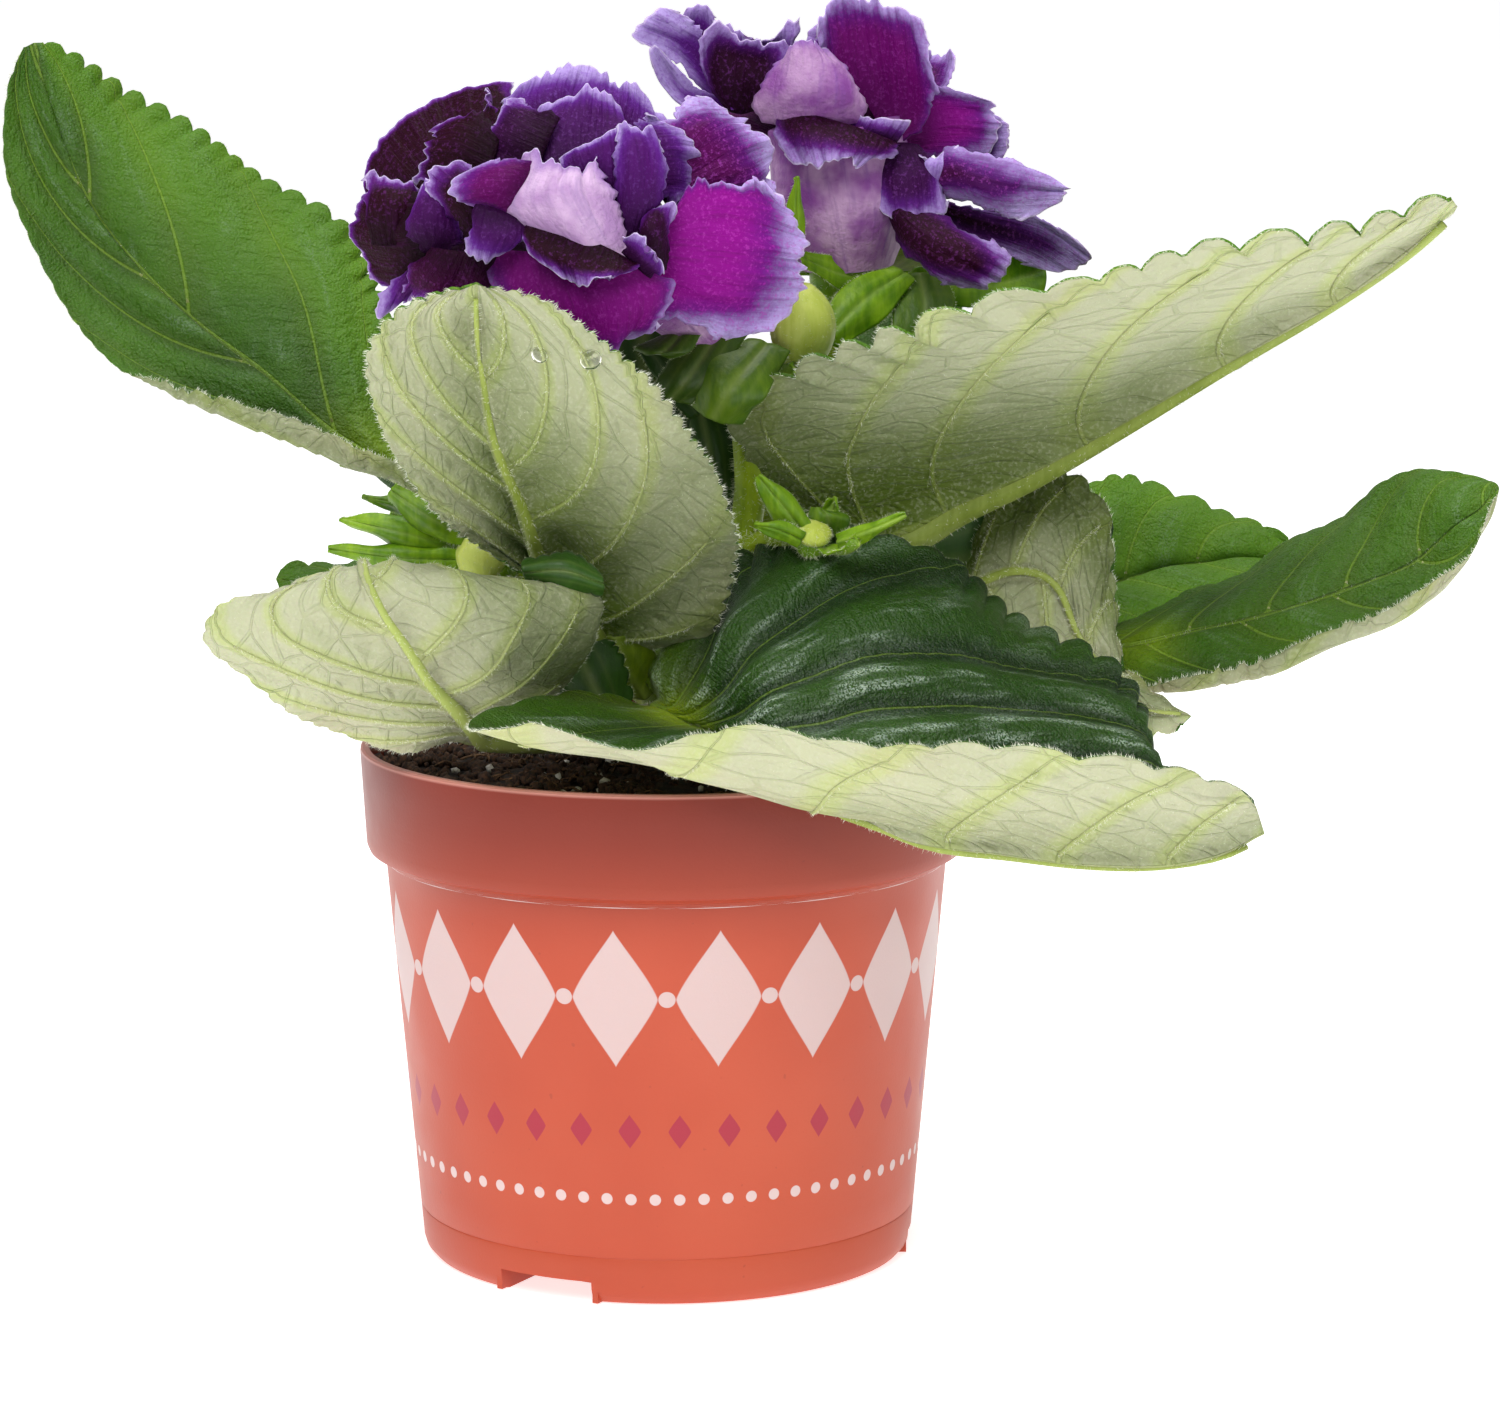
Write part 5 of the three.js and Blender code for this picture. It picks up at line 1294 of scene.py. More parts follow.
def printed(s, colour):
    """The pot's plain print: lozenges with beads between them, small lozenges and a dotted line."""
    x, y, _ = s.node("SeparateXYZ", Vector=s.places()).outputs
    turn = s.times(s.math("ARCTAN2", x, s.times(y, -1.0)), PRINT["round"] / (2 * math.pi))
    height = s.attribute("print_height")

    def off_middle(pitch, middle, shift):
        """How far round and up the place is from the middle of its mark."""
        part = s.math("FRACT", s.plus(s.math("DIVIDE", turn, pitch), shift))
        return s.times(s.minus(part, 0.5), pitch), s.minus(height, middle)

    def lozenge(pitch, middle, wide, tall, shift=0.0):
        x, y = off_middle(pitch, middle, shift)
        x = s.math("DIVIDE", s.math("ABSOLUTE", x), wide)
        y = s.math("DIVIDE", s.math("ABSOLUTE", y), tall)
        size = s.plus(s.math("POWER", x, 0.9), s.math("POWER", y, 1.25))
        return s.step(size, 0.96, 1.0, 1.0, 0.0)

    def dot(pitch, middle, radius, shift=0.0):
        x, y = off_middle(pitch, middle, shift)
        size = s.math("SQRT", s.plus(s.times(x, x), s.times(y, y)))
        return s.step(size, radius * 0.93, radius, 1.0, 0.0)

    large = s.math("MAXIMUM", lozenge(**PRINT["large"]), dot(**PRINT["beads"]))
    colour = s.mix(s.times(large, 0.9), colour, "CDB8B6")
    colour = s.mix(s.times(lozenge(**PRINT["small"]), 0.85), colour, "A02440")
    return s.mix(s.times(dot(**PRINT["dots"]), 0.9), colour, "D8C6C4")


def water_material():
    """Clear water."""
    return Surface("water", "FFFFFF", roughness=0.02, ior=1.33, transmission_weight=1.0).material


# ---------------------------------------------------------------- leaves
def vein_numbers(veins, bend, s, reach):
    """How many side veins lie below each place s along the leaf, with the share of the gap to the next."""
    veins = np.array(veins, float)
    curve = reach**bend
    lines = [start + (end - start) * curve for start, end in veins]
    lines = [2 * lines[0] - lines[1], *lines, 2 * lines[-1] - lines[-2], 3 * lines[-1] - 2 * lines[-2]]
    lines = np.stack(lines)
    k = np.clip((lines <= s).sum(0) - 1, 0, len(lines) - 2)
    low = np.take_along_axis(lines, k[None], 0)[0]
    high = np.take_along_axis(lines, k[None] + 1, 0)[0]
    return k + (s - low) / np.maximum(high - low, 1e-3)


class Leaf:
    """One leaf's middle surface: s runs from base to tip, v from -1 at the left margin to 1 at the right."""

    def __init__(self, table):
        self.table = table
        self.rails = [Rail([section[k] for section in table["blade"]]) for k in range(3)]
        self.rib = self.rails[1]

    def plain(self, s, v):
        """The surface without its scallops and quilting: points, upward and outward directions."""
        points, ups, outs = (np.zeros((*np.shape(s), 3)) for _ in range(3))
        for side, rail in ((-1, self.rails[0]), (1, self.rails[2])):
            here = v < 0 if side < 0 else v >= 0
            reach, share = np.abs(v[here]), s[here]
            t = rail.even(share) * reach + self.rib.even(share) * (1 - reach)
            calm = np.minimum(t, 0.98)
            up = side * unit(np.cross(rail.at(calm) - self.rib.at(calm), self.rib.tangent(calm)))
            bulge = self.table["bulge"][0 if side < 0 else 1] * np.sin(np.pi * t)
            point = self.rib.at(t) * (1 - reach)[:, None] + rail.at(t) * reach[:, None]
            points[here] = point + up * (bulge * 4 * reach * (1 - reach))[:, None]
            ups[here] = up
            outs[here] = -side * np.cross(up, rail.tangent(t))
        return points, ups, outs

    def numbers(self, s, v):
        """How many side veins of its own half lie below each point."""
        left = vein_numbers(self.table["left"], self.table["bend"], s, np.abs(v))
        right = vein_numbers(self.table["right"], self.table["bend"], s, np.abs(v))
        return np.where(v < 0, left, right)

    def scallops(self, s, v):
        """The margins' scallops, from -0.5 between two of them to about 0.5, and their depth in mm."""
        teeth, depth = (np.where(v < 0, *self.table[key]) for key in ("teeth", "tooth"))
        warp = s + 0.3 / teeth * np.sin(2 * np.pi * 3.3 * s + 5 * np.sign(v)) * np.sin(np.pi * s)
        lobes = np.abs(np.sin(np.pi * teeth * warp)) ** SCALLOP_POWER - 0.5
        lobes = lobes + 0.08 * np.abs(np.sin(np.pi * teeth * 3 * warp + 1))
        return lobes * (1 + 0.35 * np.sin(2 * np.pi * 2.3 * s + 2 * np.sign(v))), depth

    def quilting(self, s, v, gap, swell):
        """How far the blade rises between its side veins and sinks along its midrib, in mm."""
        reach = np.abs(v)
        ends = smoothstep(0.0, 0.08, s) * smoothstep(1.0, 0.9, s)
        fade = smoothstep(0.0, 0.12, reach) * (1 - 0.75 * smoothstep(MARGIN, 1.0, reach)) * ends
        groove = -0.6 * np.exp(-((reach * 16) ** 2)) * ends
        quilt = np.where(v < 0, *self.table["quilt"])
        height = np.minimum(0.11 * gap, 1.7)
        return quilt * height * swell * fade + groove

    def fine(self, s, v):
        """The whole surface, as points, with the values that its materials read."""
        points, ups, outs = self.plain(s, v)
        reach = np.abs(v)
        margin = smoothstep(MARGIN, 1.0, reach)
        lobes, depth = self.scallops(s, v)
        wave = 0.7 * np.sin(2 * np.pi * 4.5 * s) + 0.5 * depth * lobes
        number = self.numbers(s, v)
        gap = self.gaps(points, number)
        swell = np.sin(np.pi * number) ** 2
        rise = self.quilting(s, v, gap, swell) + wave * margin
        points = points + ups * rise[..., None]
        points = points + outs * (depth * lobes * margin**2)[..., None]
        for roll in self.table["rolls"]:
            points = self.rolled(points, s, *roll)
        across = self.across(points)
        along = s * self.rib.length
        values = {
            "flat": np.stack([number, across, along], -1),
            "net": np.stack([number, np.abs(across) + 0.9 * along, 9.0 * (v < 0)], -1),
            "gap": gap, "reach": reach, "along": s, "swell": swell, "tone": self.table["tone"],
            "shade": self.shade(s, v), "rib": self.thickness(s),
        }
        return points, values

    def thickness(self, s):
        """The midrib's radius."""
        thick, thin = self.table["rib"]
        return thick + (thin - thick) * s**0.8

    def shade(self, s, v):
        """How dark the blade is: painted shade, with some of the blade's own darker green."""
        aside = smoothstep(0.1, 0.75, np.abs(v))
        base, tip = (np.where(v < 0, left, right) * aside + middle * (1 - aside)
                     for left, middle, right in self.table["shade"])
        return base * (1 - s) + tip * s

    @staticmethod
    def rolled(points, s, side, first, last, width, radius):
        """The grid with one margin rolled up round a circle, over the rows from first to last."""
        points = points[:, ::-side].copy()
        normals = -side * grid_normals(points)
        for i, share in enumerate((s[:, 0] - first) / (last - first)):
            if not 0 < share < 1:
                continue
            row = points[i]
            gone = np.concatenate([[0], np.cumsum(np.linalg.norm(np.diff(row, axis=0), axis=1))])
            wide = width * math.sin(math.pi * share) ** 0.5
            k = int(np.searchsorted(gone, wide))
            turn = ((gone[k] - gone[:k]) / radius)[:, None]
            out = unit(row[0] - row[k])
            up = normals[i, k] - out * out.dot(normals[i, k])
            points[i, :k] = row[k] + radius * (out * np.sin(turn) + unit(up) * (1 - np.cos(turn)))
        return points[:, ::-side]

    @staticmethod
    def gaps(points, number):
        """The distance in millimetres between side veins, at each point of the grid."""
        along, across = np.gradient(points, axis=(0, 1))
        by_row, by_column = np.gradient(number, axis=(0, 1))
        rise = by_row / np.maximum(np.linalg.norm(along, axis=-1), 1e-3)
        run = by_column / np.maximum(np.linalg.norm(across, axis=-1), 1e-3)
        return np.clip(1 / np.maximum(np.hypot(rise, run), 1e-3), 1.5, 30)

    @staticmethod
    def across(points):
        """The distance from the midrib along each row, negative to the left."""
        steps = np.linalg.norm(np.diff(points, axis=1), axis=2)
        gone = np.concatenate([np.zeros((len(points), 1)), np.cumsum(steps, axis=1)], 1)
        middle = points.shape[1] // 2
        return gone - gone[:, middle : middle + 1]


def side_rows(count):
    """Places across a leaf, an odd number of them, closer together near the margins and the midrib."""
    half = np.linspace(0, 1, count // 2 + 1)
    half = half - 0.06 * np.sin(2 * np.pi * half)
    return np.concatenate([-half[:0:-1], half])


def leaf_rib(leaf, piece, hairs):
    """The petiole and, under the blade, the midrib."""
    table = leaf.table
    s = np.linspace(0, BLADE_END, 40)
    rib = leaf.rib.at(leaf.rib.even(s))
    both = leaf.plain(s, np.full_like(s, -0.01))[1] + leaf.plain(s, np.full_like(s, 0.01))[1]
    thickness = 0.8 * leaf.thickness(s)
    under = rib - unit(both) * (0.5 + thickness)[:, None]
    # The line has three spans: two lie before the blade, and the last is the midrib's first few points.
    lead = Rail([*table["petiole"], under[0].tolist(), under[4].tolist()])
    start = lead.at(np.linspace(0, 0.66, 24))
    points = np.concatenate([start, under[1:]])
    radii = np.concatenate([np.linspace(table["rib"][0], thickness[1], len(start)), thickness[1:]])
    # Painted shade: the rib takes the blade's shade, darker and less pale where the blade is shaded.
    dark = np.clip(leaf.shade(s, 0 * s), 0, 1)
    dark = np.concatenate([np.full(len(start), dark[0]), dark[1:]])
    piece.tube(points, radii, 16, 2, line=np.clip(2 - 3.2 * dark, 0, 1), deep=0.3 * dark)
    ring = tube_rings(points, radii, 24)
    outward = unit(ring - points[:, None])
    fine_hairs(hairs, ring, outward, "rib", leaf.rib.length)


def fine_hairs(hairs, points, directions, kind, long=1, **settings):
    """Hairs of one kind at random places between the points of a grid that is so many millimetres long."""
    count, length = HAIRS[kind]
    count = int(count * long)
    rows, columns = points.shape[:2]
    i = hairs.random.uniform(0, rows - 1.001, count)
    j = hairs.random.uniform(0, columns - 1.001, count)
    a, b = i.astype(int), j.astype(int)
    u, w = (i - a)[:, None], (j - b)[:, None]

    def between(grid):
        near = grid[a, b] * (1 - u) + grid[a + 1, b] * u
        far = grid[a, b + 1] * (1 - u) + grid[a + 1, b + 1] * u
        return near * (1 - w) + far * w

    hairs.grow(between(points), between(directions), length, **settings)


def leaf_side_veins(leaf, piece, hairs):
    """The side veins that stand out under the blade."""
    for side, key in ((-1, "left"), (1, "right")):
        rolled = any(roll[0] == side for roll in leaf.table["rolls"])
        for start, end in leaf.table[key]:
            reach = np.linspace(0.05, 0.5 if rolled else 0.86, 22)
            s = start + (end - start) * reach ** leaf.table["bend"]
            keep = (s > 0.02) & (s < BLADE_END)
            if keep.sum() < 6:
                continue
            reach, s = reach[keep], s[keep]
            points, ups, _ = leaf.plain(s, side * reach)
            radii = 0.55 - 0.35 * reach
            line = points - ups * (BLADE_HALF + 0.2 * radii)[:, None]
            # The vein takes the blade's painted shade.
            piece.tube(line, radii, 8, 1, shade=leaf.shade(s, side * reach))
            ring = tube_rings(line, radii, 8)
            ways = np.broadcast_to(-ups[:, None], ring.shape)
            fine_hairs(hairs, ring, ways, "vein", spread=0.6)


def blade_hairs(hairs, points, length):
    """Hairs on a blade's margins and on its underside."""
    normals = grid_normals(points)
    for column, edge, outward in side_edges(points):
        normal = normals[:, column]
        root = edge - 0.2 * normal
        ways = unit(np.stack([outward - 0.5 * normal, outward + 0.2 * normal], 1))
        fine_hairs(hairs, np.stack([root, root], 1), ways, "margin", length, width=0.11)
    fine_hairs(hairs, points - normals * BLADE_HALF, -normals, "under", length, width=0.06)


def make_leaf(table, materials, hairs):
    """One leaf: blade, petiole, midrib and side veins. materials: of its upper side, underside and ribs."""
    leaf = Leaf(table)
    rows, columns = table["grid"]
    s, v = np.meshgrid(np.linspace(0, 1, rows), side_rows(columns), indexing="ij")
    points, values = leaf.fine(s, v)
    piece = Piece()
    thick = values["rib"] * (1 - 0.9 * smoothstep(0.85, 1.0, s))
    ridge = thick * np.exp(-((values["flat"][..., 1] / (1.3 * thick)) ** 2))
    piece.sheet(points, BLADE_HALF, BLADE_HALF + ridge, **values)
    leaf_rib(leaf, piece, hairs)
    leaf_side_veins(leaf, piece, hairs)
    blade_hairs(hairs, points, leaf.rib.length)
    piece.done("fine_" + table["name"], materials, "leaf", table["name"])


# ---------------------------------------------------------------- blooms
def petal_edge(t):
    """A petal's width at t, as a share of its widest."""
    return 0.45 + 0.55 * np.sin(np.pi * np.minimum(1, 0.08 + 0.78 * t))


def sepal_edge(t):
    """A sepal's width at t, as a share of its widest."""
    return 0.1 + 0.88 * np.sin(np.pi * (0.06 + 0.9 * t) ** 0.8)


def petal_frame(root, tip, face):
    """A petal's length, its way up and its way across."""
    along = np.array(tip, float) - root
    up = np.array(face, float)
    up = unit(up - along * up.dot(along) / along.dot(along))
    return along, up, unit(np.cross(along, up))


def net_grid(rows, t, v):
    """The surface through a net of rows of three points: t runs over the rows, v across from -1 to 1."""
    left, middle, right = (Rail([row[k] for row in rows]).at(t) for k in range(3))
    v = v[..., None]
    return left * v * (v - 1) / 2 + middle * (1 - v * v) + right * v * (v + 1) / 2


def net_length(rows):
    """The length of a net's middle line."""
    return np.linalg.norm(np.diff(rows[:, 1], axis=0), axis=1).sum()


def crinkle(x, phase):
    """An uneven wave along a petal's margin, about 1 at its highest."""
    small = 0.28 * np.sin(x / 0.36 + phase[0] + 1.3 * np.sin(x / 1.9 + phase[1]))
    middle = 0.35 * np.sin(x / 0.8 + phase[2] + 1.2 * np.sin(x / 3.1 + phase[3]))
    uneven = 0.35 + 0.65 * np.sin(x / 4.3 + phase[1]) ** 2
    return (small + middle) * uneven + 0.45 * np.sin(x / 2.4 + phase[4] + np.sin(x / 5.0 + phase[0]))


def petal_waves(t, v, x, y, side, phase):
    """How high a petal's ruffles stand for a frill of 1, and how high the creases of a wide petal, in mm."""
    wave = 1.2 * crinkle(x + 1.1, phase[3:]) + 0.6 * np.sin(x / 1.9 + phase[2])
    wave = smoothstep(0.35, 1.0, t) ** 1.5 * wave
    wave = wave + 0.8 * crinkle(y + 0.7, phase[2:]) * side * np.abs(v) ** 3
    bent = x + 0.8 * np.sin(y / 4.0 + phase[3])
    creases = 0.8 * (np.abs(np.sin(bent / 4.4 + phase[4])) ** 0.8 - 0.6)
    creases = creases + 0.25 * np.sin(bent / 1.7 + phase[5])
    return wave, creases * np.sin(np.pi * t)


def add_ruffled(piece, place, length, half, frill, random, slots=(0, 1), lean=1.0, **values):
    """A ruffled petal. place(t, v) is its plain surface: t from root to free edge, v from side to side."""
    rows = int(np.clip(length / 0.8, 16, 38))
    columns = int(np.clip(half / 0.22, 24, 74))
    t, v = np.meshgrid(np.linspace(0, 1, rows) ** 0.85, np.linspace(-1, 1, columns), indexing="ij")
    x, y = v * half, t * length
    phase = random.uniform(0, 6.28, 10)
    free = smoothstep(0.8, 1.0, t)
    side = smoothstep(0.75, 1.0, np.abs(v)) * np.minimum(3 * t, 1)
    points = place(np.clip(t - 0.07 * v**8 * t**3, 0, 1), v)
    along, across = (unit(np.gradient(points, axis=k)) for k in (0, 1))
    points = points + along * (crinkle(x, phase) * frill * 1.8 * free)[..., None]
    points = points + across * (crinkle(y, phase[::-1]) * frill * 1.5 * side * np.sign(v))[..., None]
    wave, creases = petal_waves(t, v, x, y, side, phase)
    points = points + grid_normals(points) * (wave * frill + creases * min(1, half / 7))[..., None]
    width = half * petal_edge(t)
    beside = (1 - np.abs(v)) * width * (1 + 1.6 * (1 - t)) * np.where(v < 0, lean, 1) + 6 * (1 - t) ** 2
    edge = np.minimum((1 - t) * length, beside)
    flow = np.stack([x, y, np.full_like(x, phase[0] * 10)], -1)
    thick = PETAL_RIM_HALF + (PETAL_HALF - PETAL_RIM_HALF) * smoothstep(0.0, 1.5, edge)
    piece.sheet(points, thick, thick, slots, edge=edge, flow=flow, out=t, **values)


def add_seen_petal(piece, table, random):
    """A petal that the photograph shows."""
    rows = seen(table["rows"])
    half = np.linalg.norm(rows[1:, 2] - rows[1:, 0], axis=1).mean() / 2
    add_ruffled(
        piece, lambda t, v: net_grid(rows, t, v), net_length(rows), half, table["frill"], random,
        slots=(1, 0) if table.get("out") else (0, 1), lean=table.get("lean", 1.0),
        red=table["red"], band=table["band"], pale=table.get("pale", 0.35))


def add_rear_petal(piece, table, random):
    """A petal behind those that the photograph shows, or one that fills a gap between them."""
    root, tip, half, bow, cup, face, red, band = table
    along, up, across = petal_frame(root, tip, face)

    def place(t, v):
        ruffle = t**2 * 1.6 * np.sin(v * RUFFLES + half) * (0.4 + 0.6 * np.abs(v))
        rise = bow * 4 * t * (1 - t) + cup * v**2 * t + ruffle
        side = v * half * petal_edge(t)
        return root + t[..., None] * along + side[..., None] * across + rise[..., None] * up

    add_ruffled(piece, place, np.linalg.norm(along), half, 0.8, random, red=red, band=band, pale=0.4)


def add_bell(piece, table):
    """The bloom's bell, pale and streaked, with five shallow folds."""
    rows, sides = 36, 60
    line = Rail(table["points"])
    t = np.linspace(0, 1, rows)
    radii = Rail([[radius, 0, 0] for radius in table["radii"]]).at(t)[:, :1]
    angles = np.linspace(0, 2 * np.pi, sides, endpoint=False)
    folds = 1 + 0.035 * np.cos(5 * angles) * np.sin(np.pi * t)[:, None]
    flow = np.stack(np.broadcast_arrays(angles * 9, t[:, None] * line.length, 3.0), -1)
    rings = tube_rings(line.at(t), radii * folds, sides)
    faces = ring_faces(rows, sides, close_first=False)
    piece.add(rings, faces, 1, flow=flow.reshape(-1, 3), edge=20.0, pale=0.9)


def add_heart(piece, table):
    """The knot in the throat."""
    middle, radius = table["heart"]
    ball = bent_ball(18, 30, lambda down, turn: radius * (1 + 0.1 * np.sin(4 * turn) * np.sin(3 * down)))
    piece.add(ball + middle, grid_faces(18, 30, flip=True), 0, edge=12.0, red=0.3, flow=ball.reshape(-1, 3))


def make_bloom(name, materials):
    """One bloom: its petals, bell and knot. materials: of the petals' inner and outer sides."""
    random = np.random.default_rng(SEEDS[name])
    piece = Piece()
    for table in NETS[name]:
        add_seen_petal(piece, table, random)
    for table in REAR_PETALS[name]:
        add_rear_petal(piece, table, random)
    add_bell(piece, BELLS[name])
    add_heart(piece, BELLS[name])
    piece.done("fine_" + name, materials, "petal", name)


# ---------------------------------------------------------------- stem, sepals and buds
def make_stem(material, hairs):
    """The plant's short stem with the stalks of its blooms and buds."""
    piece = Piece()
    height = np.linspace(STEM["foot"], STEM["top"], 20)
    trunk = np.stack([0 * height, 0 * height, height], 1)
    piece.tube(trunk, np.linspace(STEM["foot_radius"], STEM["top_radius"], 20), 28)
    t = np.linspace(0, 1, 44)
    for points, (root, far) in STALKS:
        line = Rail(points).at(t)
        thick = root + (far - root) * t
        piece.tube(line, thick, 20)
        ring = tube_rings(line, thick, 16)
        kind = "stalk" if root > 2 else "thin_stalk"
        fine_hairs(hairs, ring, unit(ring - line[:, None]), kind)
    piece.done("fine_stem", [material], "stem", "stem")


def edge_hairs(hairs, points, kind, long=1):
    """Hairs that stand out from both sides of a sepal or young leaf."""
    for _, edge, outward in side_edges(points):
        fine_hairs(hairs, np.stack([edge, edge], 1), np.stack([outward, outward], 1), kind, long)


def add_sepal(piece, calyx, tip, random, hairs):
    """One pointed sepal, its midrib marked by line."""
    middle = np.array(calyx["middle"], float)
    axis = unit(np.array(calyx["axis"], float))
    outward = np.array(tip) - middle
    outward = unit(outward - axis * outward.dot(axis))
    root = middle + outward * calyx["core"] * 0.75
    along, up, across = petal_frame(root, tip, axis - outward)
    t, v = np.meshgrid(np.linspace(0, 1, 30), np.linspace(-1, 1, 17), indexing="ij")
    half = calyx["half"]
    phase, _ = random.uniform(0, 6.28, 2)
    wave = 0.3 * t**2 * np.sin(v * RUFFLES + half) + 0.25 * np.abs(v) ** 3 * np.sin(t * 16 + phase)
    rise = -1.5 * 4 * t * (1 - t) + v**2 * t + wave - 0.5 * np.exp(-((v * 6) ** 2))
    points = root + (t - ROUND_TIP * v**2 * t**3)[..., None] * along
    points = points + (v * half * sepal_edge(t))[..., None] * across + rise[..., None] * up
    line = np.exp(-((v * 5) ** 2)) + 0.4 * np.exp(-(((np.abs(v) - 0.5) * 9) ** 2))
    piece.sheet(points, SEPAL_HALF, SEPAL_HALF, slots=(0, 0), line=line)
    edge_hairs(hairs, points, "sepal_margin")
    normals = grid_normals(points)
    fine_hairs(hairs, points - normals * SEPAL_HALF, -normals, "sepal_back")


def add_green_net(piece, table, slot, random, hairs):
    """A sepal or young leaf through a net of places in the photograph, with a groove along its middle."""
    rows = seen(table["rows"])
    length = net_length(rows)
    teeth = table.get("teeth", 0)
    t, v = np.meshgrid(np.linspace(0, 1, 30 + 4 * teeth), np.linspace(-1, 1, 21), indexing="ij")
    first, second, _ = random.uniform(0, 6.28, 3)
    points = net_grid(rows, t, v)
    scallops = np.abs(np.sin(np.pi * teeth * t)) ** SCALLOP_POWER * np.abs(v) ** 6
    points = points + unit(np.gradient(points, axis=1)) * (1.3 * scallops * np.sign(v))[..., None]
    wave = 0.4 * np.abs(v) ** 3 * np.sin(t * length / 1.8 + first + np.sign(v))
    wave = wave + 0.35 * np.sin(v * 4 + second) * t - 0.5 * np.exp(-((v * 6) ** 2))
    points = points + grid_normals(points) * wave[..., None]
    line = 0.4 * np.exp(-((v * 7) ** 2)) + 0.12 * np.exp(-(((np.abs(v) - 0.5) * 12) ** 2))
    piece.sheet(points, SEPAL_HALF, SEPAL_HALF, slots=(slot, slot), line=line, deep=table["deep"])
    edge_hairs(hairs, points, "young_margin", length)


def make_young_leaves(materials, hairs):
    """The small leaves and the broad petiole between the large leaves. materials: one for each kind."""
    random = np.random.default_rng(SEEDS["young"])
    piece = Piece()
    for table in YOUNG_LEAVES:
        add_green_net(piece, table, table["kind"], random, hairs)
    piece.done("young_leaves", materials, "leaf")


def make_calyx(name, material, seed, hairs):
    """The ball under a bloom or bud with its sepals."""
    random = np.random.default_rng(seed)
    calyx = CALYXES[name]
    piece = Piece()
    for tip in calyx["tips"]:
        add_sepal(piece, calyx, tip, random, hairs)
    for table in SEPALS[name]:
        add_green_net(piece, table, 0, random, hairs)
    core = calyx["core"]
    ball = bent_ball(22, 40, lambda down, turn: core * (1 + 0.05 * np.cos(5 * turn) * np.sin(down)))
    points = ball + calyx["middle"]
    piece.add(points, grid_faces(22, 40, flip=True), 0, line=0.0)
    fine_hairs(hairs, points, unit(ball), "calyx")
    piece.done("fine_" + name, [material], "sepal", name)


def make_bud(name, material, hairs):
    """A closed bud: five lobes folded over each other, marked by shallow seams."""
    table = BUDS[name]
    rows, sides = 40, 48
    t = np.linspace(0, 1, rows)
    line = Rail(table["points"]).at(t)
    radii = table["radius"] * (0.15 + 0.85 * np.sin(np.pi * (0.06 + 0.9 * t)) ** 0.7)
    angles = np.linspace(0, 2 * np.pi, sides, endpoint=False)
    turned = 5 * (angles[None] + 0.5 * t[:, None])
    seams = 1 - 0.06 * np.exp(-((np.sin(turned / 2) * 5) ** 2)) * np.sin(np.pi * t)[:, None]
    rings = tube_rings(line, radii[:, None] * seams, sides)
    piece = Piece()
    piece.add(rings, ring_faces(rows, sides), 0, line=(1 - seams.ravel()) * 6)
    fine_hairs(hairs, rings, unit(rings - line[:, None]), "bud")
    piece.done("fine_" + name, [material], "bud", name)


# ---------------------------------------------------------------- pot, soil and drops
def pot_profile():
    """The pot's section from the middle of its underside, up the outside, over the rim and down inside."""
    height, wall = POT["height"], POT["wall"]
    base, foot, shoulder = POT["base_radius"], POT["body_foot_radius"], POT["body_top_radius"]
    collar, rim = POT["collar_foot_radius"], POT["top_radius"]
    step = height - POT["collar_height"]
    return [
        [0, 0], [base - 1.2, 0], [base + 0.2, 0.35], [foot - 0.5, 1.7], [foot - 0.1, 3.0],
        [foot + 0.45, 9.2], [foot + 0.3, 9.5], [foot + 0.5, 9.8],
        [shoulder, step - 2.4], [shoulder + 0.5, step - 1.4],
        [collar - 1.6, step - 0.7], [collar - 0.5, step - 0.1], [collar - 0.05, step + 1.0],
        [collar + 0.05, step + 2.4],
        [rim - 0.05, height - 1.0], [rim - 0.15, height - 0.35], [rim - 0.5, height],
        [rim - wall - 0.4, height], [rim - wall - 0.7, height - 0.3],
        [collar - wall, step + 2.4], [shoulder - wall, step - 1.5],
        [foot - wall, 4.5], [base - wall, wall], [0, wall],
    ]


def turned_rings(profile, sides, step):
    """The rings of points of a section turned round Z, with more of them where it goes on for two steps."""
    profile = np.array(profile, float)
    fine = [profile[0]]
    for a, b in zip(profile, profile[1:]):
        parts = max(1, int(np.hypot(*(b - a)) / step))
        fine.extend(a + (b - a) * (k + 1) / parts for k in range(parts))
    radii, heights = np.array(fine[1:-1]).T[..., None]
    angles = np.linspace(0, 2 * np.pi, sides, endpoint=False)
    return np.stack([radii * np.cos(angles), radii * np.sin(angles), np.repeat(heights, sides, 1)], -1)


def make_pot(material):
    """The pot, turned from its section, with its drain channels and holes cut."""
    sides = 216
    rings = turned_rings(pot_profile(), sides, 5)
    piece = Piece()
    piece.add(rings, ring_faces(len(rings), sides))
    pot = piece.done("fine_pot", [material], "pot_plastic", "pot")
    hoods, recesses = channel_blocks()
    for cutter, operation in ((hoods, "UNION"), (recesses, "DIFFERENCE")):
        cut = pot.modifiers.new("cut", "BOOLEAN")
        cut.object = cutter
        cut.operation = operation
        cut.solver = "EXACT"
        scene_graph = bpy.context.evaluated_depsgraph_get()
        shaped = bpy.data.meshes.new_from_object(pot.evaluated_get(scene_graph))
        pot.modifiers.clear()
        pot.data = shaped
        bpy.data.objects.remove(cutter)
    finish_pot(pot, material)


